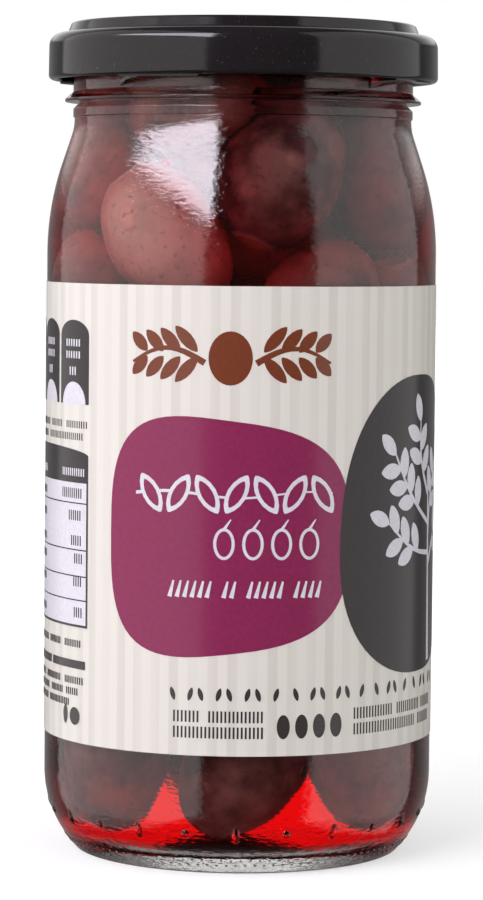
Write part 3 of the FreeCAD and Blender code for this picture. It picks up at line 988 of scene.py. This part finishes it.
# %% Pale shapes: twigs on the charcoal field, leaves and olives on the plum one
TRUNK = (43.0, 33.6, 30.0)
TWIGS = (
    (42.4, 52.0, 15.5, 158, 5),
    (42.2, 57.0, 17.5, 136, 6),
    (42.0, 62.0, 13.0, 108, 4),
    (42.3, 55.0, 15.0, 64, 5),
    (42.6, 50.0, 13.0, 34, 4),
)
LEAF_ROW = [-16.6 + 4.8 * number for number in range(7)]
LEAF_HEIGHTS = (66.4, 60.2)
LEAF_WAYS = (-60, 60)
OLIVE_ROW = [-2.4 + 4.7 * number for number in range(4)]
OLIVE_ROW_Z = 55.2


def twig(u, z, reach, angle, leaves):
    """A bowed stalk with leaves on both sides and one at its tip."""
    way = math.radians(angle)
    along = Vector((math.cos(way), math.sin(way)))
    aside = Vector((-along.y, along.x))

    def path(t):
        point = Vector((u, z)) + along * reach * t + aside * 1.6 * math.sin(math.pi * t)
        return point.x, point.y

    stem(path, 0.9, 16)
    for number in range(leaves):
        start = path(0.34 + 0.6 * number / leaves)
        leaf(start[0], start[1], 5.2, 2.7, angle + (48 if number % 2 else -48))
    tip = path(1.0)
    leaf(tip[0], tip[1], 5.0, 2.6, angle)


def row_leaf(number, inset, length, width):
    """A leaf of the row on the plum field, or, set in from its start, the heart of one."""
    way = LEAF_WAYS[number % 2]
    start = Matrix.Rotation(math.radians(way), 2) @ Vector((inset, 0))
    leaf(LEAF_ROW[number] + start.x, LEAF_HEIGHTS[number % 2] + start.y, length, width, way)


sheet = open_sheet("white")
stem(lambda t: (TRUNK[0] - t, TRUNK[1] + TRUNK[2] * t), 1.3, 12)
for row in TWIGS:
    twig(*row)
for number in range(len(LEAF_ROW)):
    row_leaf(number, 0, 7.2, 3.2)
stem(lambda t: (-17.6 + 33.4 * t, 63.2 + 0.5 * math.sin(9 * t)), 0.55, 40)
for u in OLIVE_ROW:
    blob(u, OLIVE_ROW_Z, 1.75, 2.6, count=26)
    stem(lambda t, u=u: (u + 1.1 * t, 57.6 + 1.6 * t), 0.5, 8)
slanted_words(-11.4, 46.4, (6, 2, 5, 4), 2.7)
for number in range(3):
    middle = TAB_EDGE - TAB_STEP * number - TAB_WIDE / 2
    dome(middle, TAB_LOW, 3.6, 3.7)
    fine_words(middle - 2.4, 86.6, (4.8,), 1.2, 0.8)
    fine_words(middle - 2.4, 84.6, (4.8,), 1.2, 0.8)
    fine_words(middle - 1.2, 81.8, (2.4,), 1.4, 0.8)
fine_words(TABLE_RIGHT - 8.0, 65.0, (7.0,), 1.3)
fine_words(TABLE_RIGHT - 27.0, 65.0, (4.0, 5.0), 1.3)
tile(TABLE_LEFT + FRAME, TABLE_RIGHT - FRAME, TABLE_LOW + 0.2, TABLE_HEAD)
sheets.append(film(sheet, white_ink, 2))

sheet = open_sheet("hearts")
for number in range(len(LEAF_ROW)):
    row_leaf(number, 1.1, 5.0, 1.9)
for u in OLIVE_ROW:
    blob(u, OLIVE_ROW_Z, 1.25, 2.1, count=26)
sheets.append(film(sheet, plum_ink, 3))
print(len(TWIGS), "twigs,", len(LEAF_ROW), "leaves and", len(OLIVE_ROW), "olives printed")

# %% [markdown]
# Small print is too fine to read, so runs of thin strokes give its grey tone and its line lengths
# without saying anything. A list of lines says where each one starts, and a loop sets them.

# %% Small print: strokes where a real label has words
FRONT_LINES = (
    (-10.6, 25.9, (4.6, 9.4), 1.9),
    (-10.6, 23.3, (15.2,), 1.9),
    (20.4, 25.9, (9.0, 7.6, 5.0), 1.9),
    (20.4, 23.3, (16.4, 6.0), 1.9),
    (-50.0, 73.0, (7.0, 5.5, 6.4), 1.2),
    (-50.0, 71.0, (6.0, 13.4), 1.2),
)
SIDE_LINES = (
    (-50.0, 36.4, (7.0, 5.4, 5.6), 1.2),
    (-50.0, 30.2, (5.0, 7.5, 6.0), 1.2),
    (-50.0, 28.3, (8.0, 5.0, 4.0), 1.2),
    (-50.0, 26.4, (7.0, 8.5), 1.2),
)
TABLE_RULES = (60.4, 52.6, 48.2, 44.2)
TABLE_VALUES = ((61.3, 6.6), (57.6, 4.2), (53.4, 3.4), (50.4, 2.4), (46.6, 2.6), (41.4, 2.4))

sheet = open_sheet("dark")
place = -10.4
for length in (8, 6, 4, 5):
    for number in range(length):
        leaf(place, 29.4, 2.3, 0.85, 90 - (16 if number % 2 else -16))
        place += 2.35
    place += 1.6
for line in FRONT_LINES:
    fine_words(*line)
for number in range(4):
    blob(7.6 + 3.1 * number, 25.2, 1.1, 2.0, count=20)
sheets.append(film(sheet, dark_ink, 0))

sheet = open_sheet("table")
tile(TABLE_LEFT, TABLE_LEFT + FRAME, TABLE_LOW, TABLE_HEAD + 0.1)
tile(TABLE_RIGHT - FRAME, TABLE_RIGHT, TABLE_LOW, TABLE_HEAD + 0.1)
tile(TABLE_LEFT, TABLE_RIGHT, TABLE_LOW - 0.2, TABLE_LOW + 0.2)
for z in TABLE_RULES:
    tile(TABLE_LEFT + FRAME, TABLE_RIGHT - FRAME, z, z + 0.22)
for z, value in TABLE_VALUES:
    fine_words(TABLE_RIGHT - 1.4 - value, z, (value,), 1.7)
    fine_words(TABLE_RIGHT - 28.0, z, (6.2, 4.0), 1.3)
words(-50.0, 32.8, (9.0, 11.4), 1.4)
for line in SIDE_LINES:
    fine_words(*line)
leaf(-34.6, 23.2, 3.4, 1.5, 90)
blob(-31.6, 24.8, 1.5, 1.5, count=24)
sheets.append(film(sheet, dark_ink, 3))
print(len(TABLE_VALUES), "rows in the table")

# %% The back of the label, which the front view does not show
BACK_TOP = 88.0
sheet = open_sheet("back")
for column in (58.0, 84.0):
    for number in range(22):
        lengths = [random.uniform(2.5, 7.0) for _ in range(3)]
        if number % 8 != 7:
            words(column, BACK_TOP - 2.2 * number, lengths, 0.75)
for number in range(34):
    left = -96.0 + 0.78 * number
    tile(left, left + random.choice((0.2, 0.35, 0.5)), 27.0, 44.0)
for number in range(14):
    lengths = [random.uniform(3.0, 8.0) for _ in range(4)]
    words(-97.0, BACK_TOP - 2.4 * number, lengths, 0.8)
sheets.append(film(sheet, dark_ink, 0))
print(len(sheets), "printed sheets")

# %% [markdown]
# Flat faces can't bend, so the whole label is first cut across into narrow upright strips by bisect.
# One Simple Deform then bends it all into a ring, and each ink stays exactly on its paper. The ring
# is parted by material, so that every ink is a piece with a finish of its own.

# %% Cut, bend and part the label
CUTS = 144
label = join(sheets, "label_paper")
bpy.ops.object.mode_set(mode="EDIT")
for number in range(1, CUTS):
    bpy.ops.mesh.select_all(action="SELECT")
    place = across(LAP_TO - 360 + 360 * number / CUTS) * MM
    bpy.ops.mesh.bisect(plane_co=(place, 0, 0), plane_no=(1, 0, 0))
bpy.ops.object.mode_set(mode="OBJECT")
bend = label.modifiers.new("bend", "SIMPLE_DEFORM")
bend.deform_method = "BEND"
bend.deform_axis = "Z"
bend.angle = TURN
apply_modifiers(label)
label.data.transform(Matrix.Translation((0, -BODY * MM, 0)))
bpy.ops.object.mode_set(mode="EDIT")
bpy.ops.mesh.select_all(action="SELECT")
bpy.ops.mesh.separate(type="MATERIAL")
bpy.ops.object.mode_set(mode="OBJECT")
label_pieces = list(bpy.context.selected_objects)
for piece in label_pieces:
    name = piece.data.materials[0].name
    piece.name = piece.data.name = "label_" + name
    smooth(piece, 30)
    print(piece.name, len(piece.data.polygons), "faces")

# %% [markdown]
# ## Finishes
# Each finish is made of nodes, with the colour, gloss and small relief of the real stuff. A helper
# sets up a Principled shader with its plain values, and small helpers add noise and relief.

# %% Helpers for finishes


def finish(name, color, roughness, **plain):
    """A material with one Principled shader; plain values go straight on its sockets."""
    material = bpy.data.materials.get(name) or bpy.data.materials.new(name)
    material.use_nodes = True
    nodes = material.node_tree.nodes
    shader = nodes["Principled BSDF"]
    shader.inputs["Base Color"].default_value = (*color, 1)
    shader.inputs["Roughness"].default_value = roughness
    for socket, value in plain.items():
        shader.inputs[socket.replace("_", " ")].default_value = value
    return material, nodes, material.node_tree.links, shader


def speckle(nodes, links, scale, detail=2.0, vector=None):
    """A noise pattern in millimetres of the object."""
    if vector is None:
        place = nodes.new("ShaderNodeTexCoord")
        vector = place.outputs["Object"]
    pattern = nodes.new("ShaderNodeTexNoise")
    pattern.inputs["Scale"].default_value = scale / MM
    pattern.inputs["Detail"].default_value = detail
    links.new(vector, pattern.inputs["Vector"])
    return pattern.outputs["Fac"]


def relief(nodes, links, shader, height, depth, strength=1.0):
    """Small relief this many millimetres deep."""
    bump = nodes.new("ShaderNodeBump")
    bump.inputs["Distance"].default_value = depth * MM
    bump.inputs["Strength"].default_value = strength
    links.new(height, bump.inputs["Height"])
    links.new(bump.outputs["Normal"], shader.inputs["Normal"])
    return bump


def blend_colors(nodes, links, amount, first, second):
    """Mixes two colours, or colour outputs, by an amount."""
    mix = nodes.new("ShaderNodeMix")
    mix.data_type = "RGBA"
    links.new(amount, mix.inputs["Factor"])
    for socket, value in ((mix.inputs[6], first), (mix.inputs[7], second)):
        if isinstance(value, tuple):
            socket.default_value = (*value, 1)
        else:
            links.new(value, socket)
    return mix.outputs[2]


def remap(nodes, links, value, low, high, out_low=0.0, out_high=1.0):
    """Stretches a value from one range to another and clips it there."""
    stretch = nodes.new("ShaderNodeMapRange")
    links.new(value, stretch.inputs["Value"])
    stretch.inputs["From Min"].default_value = low
    stretch.inputs["From Max"].default_value = high
    stretch.inputs["To Min"].default_value = out_low
    stretch.inputs["To Max"].default_value = out_high
    return stretch.outputs["Result"]


def combine(nodes, links, operation, first, second=0.0):
    """One Math node; either side may be an output or a plain number."""
    node = nodes.new("ShaderNodeMath")
    node.operation = operation
    for socket, value in zip(node.inputs, (first, second)):
        if isinstance(value, (int, float)):
            socket.default_value = value
        else:
            links.new(value, socket)
    return node.outputs[0]


# %% [markdown]
# Moulded glass is clear, very slightly green, and never quite flat: a faint orange-peel ripple
# breaks the edges of whatever it mirrors.

# %% Glass
glass, nodes, links, shader = finish(
    "clear_glass", (0.985, 0.990, 0.972), 0.0, Transmission_Weight=1.0, IOR=1.51)
place = nodes.new("ShaderNodeTexCoord")
squash = nodes.new("ShaderNodeMapping")
squash.inputs["Scale"].default_value = (1.0, 1.0, 2.4)
links.new(place.outputs["Object"], squash.inputs["Vector"])
ripple = speckle(nodes, links, 0.75, 2.0, squash.outputs["Vector"])
relief(nodes, links, shader, ripple, 0.05, 0.8)
print(glass.name, "mixed")

# %% [markdown]
# Brine from dark olives looks almost black in a full jar and bright red where light comes straight
# through it. That is what Volume Absorption does: it takes out green and blue, more with every
# millimetre, and leaves red.

# %% Brine
brine_stuff, nodes, links, shader = finish(
    "dark_brine", (1.0, 1.0, 1.0), 0.0, Transmission_Weight=1.0, IOR=1.345,
    Specular_Tint=(0.08, 0.08, 0.08, 1))
absorb = nodes.new("ShaderNodeVolumeAbsorption")
absorb.inputs["Color"].default_value = (0.998, 0.02, 0.10, 1)
absorb.inputs["Density"].default_value = 120.0
links.new(absorb.outputs["Volume"], nodes["Material Output"].inputs["Volume"])
print(brine_stuff.name, "mixed")

# %% [markdown]
# Olive skin is dark plum-brown, paler on fruit that was picked less ripe, and mottled. The torn
# flesh round the hole is pale. The two numbers stored on the mesh choose between them.

# %% Olive skin
DARK_SKIN = (0.085, 0.022, 0.024)
PALE_SKIN = (0.74, 0.300, 0.255)
FLESH = (0.60, 0.42, 0.36)
skin, nodes, links, shader = finish("mottled_skin", DARK_SKIN, 0.42, IOR=1.12)
pale = nodes.new("ShaderNodeAttribute")
pale.attribute_name = "pale"
torn = nodes.new("ShaderNodeAttribute")
torn.attribute_name = "flesh"
mottle = remap(nodes, links, speckle(nodes, links, 0.12, 4.0), 0.35, 0.65, -0.22, 0.22)
shade = combine(nodes, links, "ADD", pale.outputs["Fac"], mottle)
base = blend_colors(nodes, links, shade, DARK_SKIN, PALE_SKIN)
pores = remap(nodes, links, speckle(nodes, links, 1.1, 1.0), 0.62, 0.72, 0.0, 0.35)
spotted = blend_colors(nodes, links, pores, base, DARK_SKIN)
whole = blend_colors(nodes, links, torn.outputs["Fac"], spotted, FLESH)
links.new(whole, shader.inputs["Base Color"])
relief(nodes, links, shader, speckle(nodes, links, 0.5, 4.0), 0.25, 0.5)
print(skin.name, "mixed")

# %% [markdown]
# The lid's black lacquer is glossy, with a faint ripple of its own and a little dust.

# %% Black lacquer
LACQUER = (0.012, 0.010, 0.011)
DUST = (0.3, 0.29, 0.28)
lacquer, nodes, links, shader = finish("black_lacquer", LACQUER, 0.12, IOR=1.5)
specks = remap(nodes, links, speckle(nodes, links, 2.2, 1.0), 0.70, 0.78, 0.0, 0.12)
dusty = blend_colors(nodes, links, specks, LACQUER, DUST)
links.new(dusty, shader.inputs["Base Color"])
relief(nodes, links, shader, speckle(nodes, links, 0.6, 1.0), 0.02, 0.3)
print(lacquer.name, "mixed")

# %% [markdown]
# The paper is satin, off-white, and printed with soft upright stripes. A stripe follows the angle
# round the jar, which the nodes work out from the object's own X and Y.

# %% Printed paper
STRIPES = 64
CREAM = (0.675, 0.652, 0.59)
STRIPE = (0.59, 0.565, 0.508)


def angle_round(nodes, links):
    """The angle round the jar's axis, in radians."""
    place = nodes.new("ShaderNodeTexCoord")
    split = nodes.new("ShaderNodeSeparateXYZ")
    links.new(place.outputs["Object"], split.inputs[0])
    return combine(nodes, links, "ARCTAN2", split.outputs["X"], split.outputs["Y"])


def wave(nodes, links, angle, count):
    """A sine with this many waves once round."""
    return combine(nodes, links, "SINE", combine(nodes, links, "MULTIPLY", angle, count))


material, nodes, links, shader = finish("satin_paper", CREAM, 0.26, IOR=1.5)
angle = angle_round(nodes, links)
fine = remap(nodes, links, wave(nodes, links, angle, STRIPES), -0.2, 0.2)
slow = remap(nodes, links, wave(nodes, links, angle, STRIPES * 3 / 8), -1, 1, 0.25, 0.9)
striped = blend_colors(nodes, links, combine(nodes, links, "MULTIPLY", fine, slow), CREAM, STRIPE)
links.new(striped, shader.inputs["Base Color"])
relief(nodes, links, shader, speckle(nodes, links, 0.8, 3.0), 0.01, 0.4)
print(material.name, "mixed with", STRIPES, "stripes")

# %% [markdown]
# Each ink is a satin film like the paper under its varnish, with a fine grain where it takes a
# little less. One loop mixes them all.

# %% Inks
INKS = {
    "plum_ink": (0.205, 0.016, 0.070),
    "charcoal_ink": (0.022, 0.017, 0.018),
    "brown_ink": (0.150, 0.036, 0.014),
    "dark_ink": (0.040, 0.032, 0.032),
    "white_ink": (0.60, 0.585, 0.635),
}
for name, color in INKS.items():
    material, nodes, links, shader = finish(name, color, 0.22, IOR=1.5)
    grain = remap(nodes, links, speckle(nodes, links, 1.6, 2.0), 0.3, 0.7, 0.0, 0.25)
    lighter = tuple(min(1, part * 1.5 + 0.006) for part in color)
    links.new(blend_colors(nodes, links, grain, color, lighter), shader.inputs["Base Color"])
    relief(nodes, links, shader, speckle(nodes, links, 0.8, 3.0), 0.008, 0.4)
print(len(INKS), "inks mixed")

# %% [markdown]
# ## Putting it together
# The jar is one rigid thing, so every piece rides on the root. Each turned piece takes the place of
# one node of the frame, and the paper stands for the label, inks and all.

# %% Give each piece its finish and its body


def dress(piece, material, slot, *nodes_replaced):
    """A label piece keeps the material it was cut out by; the others get theirs here."""
    if material is not None:
        piece.data.materials.clear()
        piece.data.materials.append(material)
    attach(piece, "root")
    if nodes_replaced:
        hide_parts(*nodes_replaced)


dress(jar, glass, "glass", "glass_jar")
dress(brine, brine_stuff, "brine", "brine")
dress(olives, skin, "olive_skin", "olives")
dress(lid, lacquer, "lacquered_steel", "lid")
for piece in label_pieces:
    if piece.name == "label_satin_paper":
        dress(piece, None, "label_paper", "label")
    else:
        dress(piece, None, "label_paper")
print(4 + len(label_pieces), "pieces ride on the root")

# %% [markdown]
# ## The studio
# A white sweep, two tall soft panels at the sides and one bright window-like lamp high on the left.
# The panels give the long soft reflections on glass, label and lid, and the dark gap between them,
# where the camera stands, shows the true colours. The white background is only for the eye: it shows
# straight on or through glass, while what lights the object or is mirrored in it has its own level.

# %% Which rays see white


def seen_white(nodes, links, path):
    """One for what is seen straight or through glass, and nought for light on the object."""
    looked_at = combine(
        nodes, links, "MAXIMUM", path.outputs["Is Camera Ray"], path.outputs["Is Transmission Ray"])
    turned_back = combine(
        nodes, links, "ADD", path.outputs["Diffuse Depth"], path.outputs["Glossy Depth"])
    straight = combine(nodes, links, "LESS_THAN", turned_back, 0.5)
    return combine(nodes, links, "MULTIPLY", looked_at, straight)


# %% [markdown]
# The floor is a big pale plane that keeps the jar's shadow. Seen directly it glows more the farther
# off it is, so that it melts into the white background. Glass and lacquer neither mirror it nor
# show it, because a pale floor mirrored in the base would hide the brine.

# %% Floor and backdrop
FLOOR_SIZE = 6.0
NEAR_GLOW = 0.55
FAR_GLOW = 0.95
GLOW_FROM = 0.12
GLOW_TO = 0.6
clear_selection()
bpy.ops.mesh.primitive_plane_add(size=FLOOR_SIZE)
floor = edit_new("studio_floor")
bpy.ops.object.mode_set(mode="OBJECT")
floor.visible_glossy = False
floor.visible_transmission = False
sweep, nodes, links, shader = finish(
    "white_sweep", (0.5, 0.5, 0.5), 0.9, Specular_IOR_Level=0.0, Emission_Color=(1, 1, 1, 1))
path = nodes.new("ShaderNodeLightPath")
place = nodes.new("ShaderNodeTexCoord")
away = nodes.new("ShaderNodeVectorMath")
away.operation = "LENGTH"
links.new(place.outputs["Object"], away.inputs[0])
fade = remap(nodes, links, away.outputs["Value"], GLOW_FROM, GLOW_TO, NEAR_GLOW, FAR_GLOW)
glow = combine(nodes, links, "MULTIPLY", path.outputs["Is Camera Ray"], fade)
links.new(glow, shader.inputs["Emission Strength"])
floor.data.materials.append(sweep)
print("floor", FLOOR_SIZE, "m wide")

# %% [markdown]
# A real studio is dark behind the camera and pale behind the jar, and shiny things show it. The world
# has one level as light on dull surfaces, and others as mirrored: from the front, from behind, and
# from behind at a rising angle, which is where the thick base of the glass looks.

# %% World
AMBIENT = 0.50
MIRRORED_FRONT = 0.03
MIRRORED_BACK = 0.22
MIRRORED_RISING = 1.1

world = bpy.data.worlds.new("studio")
bpy.context.scene.world = world
world.use_nodes = True
nodes, links = world.node_tree.nodes, world.node_tree.links
sky = nodes["Background"]
sky.inputs["Color"].default_value = (1, 1, 1, 1)
path = nodes.new("ShaderNodeLightPath")
way = nodes.new("ShaderNodeTexCoord")
split = nodes.new("ShaderNodeSeparateXYZ")
links.new(way.outputs["Generated"], split.inputs[0])
rising = remap(nodes, links, split.outputs["Z"], 0.10, 0.18, MIRRORED_BACK, MIRRORED_RISING)
backward = remap(nodes, links, split.outputs["Y"], 0.5, 0.9, 0.0, 1.0)
behind = combine(nodes, links, "MULTIPLY", rising, backward)
mirrored = combine(nodes, links, "ADD", behind, MIRRORED_FRONT)
reflected = combine(nodes, links, "LESS_THAN", 0.5, path.outputs["Glossy Depth"])
level = nodes.new("ShaderNodeMix")
level.inputs["A"].default_value = AMBIENT
links.new(mirrored, level.inputs["B"])
links.new(reflected, level.inputs["Factor"])
strength = nodes.new("ShaderNodeMix")
links.new(seen_white(nodes, links, path), strength.inputs["Factor"])
links.new(level.outputs["Result"], strength.inputs["A"])
strength.inputs["B"].default_value = 1.0
links.new(strength.outputs["Result"], sky.inputs["Strength"])
print("ambient level", AMBIENT)

# %% [markdown]
# Two area lamps stand upright at the sides. They are wide and near, so that their reflections are
# long, even and straight-edged. Radiance is chosen first, and a lamp's energy follows from its size.

# %% Panels
PANEL_DISTANCE = 0.8
PANEL_HEIGHT = 0.45
PANEL_TALL = 2.2
PANEL_COLOR = (1.0, 0.98, 0.98)


def panel(name, around, width, radiance):
    """A soft panel that faces the jar; around is degrees from the camera's side, left positive."""
    lamp = bpy.data.lights.new(name, "AREA")
    lamp.shape = "RECTANGLE"
    lamp.size = width
    lamp.size_y = PANEL_TALL
    lamp.energy = radiance * math.pi * width * PANEL_TALL
    lamp.color = PANEL_COLOR
    stand = bpy.data.objects.new(name, lamp)
    bpy.context.collection.objects.link(stand)
    stand.location = spot(-around, PANEL_DISTANCE, PANEL_HEIGHT)
    aim = Vector((0, 0, PANEL_HEIGHT)) - stand.location
    stand.rotation_euler = aim.to_track_quat("-Z", "Y").to_euler()
    stand.visible_camera = False


panel("left_panel", 76.5, 2.30, 0.90)
panel("right_panel", -84.5, 1.36, 0.82)
print("two panels", PANEL_TALL, "m tall")

# %% [markdown]
# The window lamp is one plane whose corners are put where the window would stand. Its glow is cut
# off along two slants, so that the jar's shoulder mirrors a bright patch with a pointed lower end.

# %% The window lamp
WINDOW_DISTANCE = 1.2
WINDOW_CORNERS = ((18, 11), (86, 11), (18, 42), (86, 42))
WINDOW_STRENGTH = 9.5
WINDOW_LOWER_SLANT = 0.58
WINDOW_UPPER_SLANT = 0.34
WINDOW_SOFT = 0.05
WINDOW_LIFT = 0.03
WINDOW_BASE = 0.11


def toward(around, rise, distance):
    """A point this far from the jar, at angles round to the left and up, in degrees."""
    up = math.radians(rise)
    return Vector(spot(-around, math.cos(up) * distance, math.sin(up) * distance + WINDOW_BASE))


clear_selection()
bpy.ops.mesh.primitive_plane_add(size=1)
window = edit_new("window_lamp")
bpy.ops.object.mode_set(mode="OBJECT")
for vertex, (around, rise) in zip(window.data.vertices, WINDOW_CORNERS):
    vertex.co = toward(around, rise, WINDOW_DISTANCE)
window.visible_camera = False
daylight, nodes, links, shader = finish(
    "daylight", (0, 0, 0), 0.5, Emission_Color=(0.96, 0.90, 1.0, 1))
place = nodes.new("ShaderNodeTexCoord")
split = nodes.new("ShaderNodeSeparateXYZ")
links.new(place.outputs["UV"], split.inputs[0])
low_edge = combine(nodes, links, "MULTIPLY", split.outputs["X"], WINDOW_LOWER_SLANT)
above = combine(nodes, links, "SUBTRACT", split.outputs["Y"], low_edge)
high_edge = combine(nodes, links, "MULTIPLY", split.outputs["X"], WINDOW_UPPER_SLANT)
height = combine(nodes, links, "ADD", split.outputs["Y"], high_edge)
below = combine(nodes, links, "SUBTRACT", 1.0 + WINDOW_LIFT, height)
inside = combine(nodes, links, "MINIMUM", above, below)
bright = remap(nodes, links, inside, 0.0, WINDOW_SOFT, 0.0, WINDOW_STRENGTH)
links.new(bright, shader.inputs["Emission Strength"])
window.data.materials.append(daylight)
print("window lamp at", WINDOW_DISTANCE, "m")

# %% [markdown]
# The camera stands a bit over half a metre off, as high as the lower end of the shoulder, and looks
# slightly down through a long lens, so that the jar's sides stay nearly parallel.

# %% Camera
EYE_HEIGHT = 0.1075
EYE_DISTANCE = 0.5836
EYE_SIDE = 0.0003
TILT_DOWN = 3.84
ROLL = 0.56
LENS = 136
SENSOR = 36
eye = bpy.data.cameras.new("camera")
eye.lens = LENS
eye.sensor_width = SENSOR
eye.clip_start = 0.01
camera = bpy.data.objects.new("camera", eye)
bpy.context.collection.objects.link(camera)
camera.location = (EYE_SIDE, -EYE_DISTANCE, EYE_HEIGHT)
tilt = Matrix.Rotation(math.radians(90 - TILT_DOWN), 3, "X")
roll = Matrix.Rotation(math.radians(ROLL), 3, "Z")
camera.rotation_euler = (tilt @ roll).to_euler()
bpy.context.scene.camera = camera
bpy.context.scene.view_settings.view_transform = "Standard"
print("camera", EYE_DISTANCE, "m away, lens", LENS, "mm")
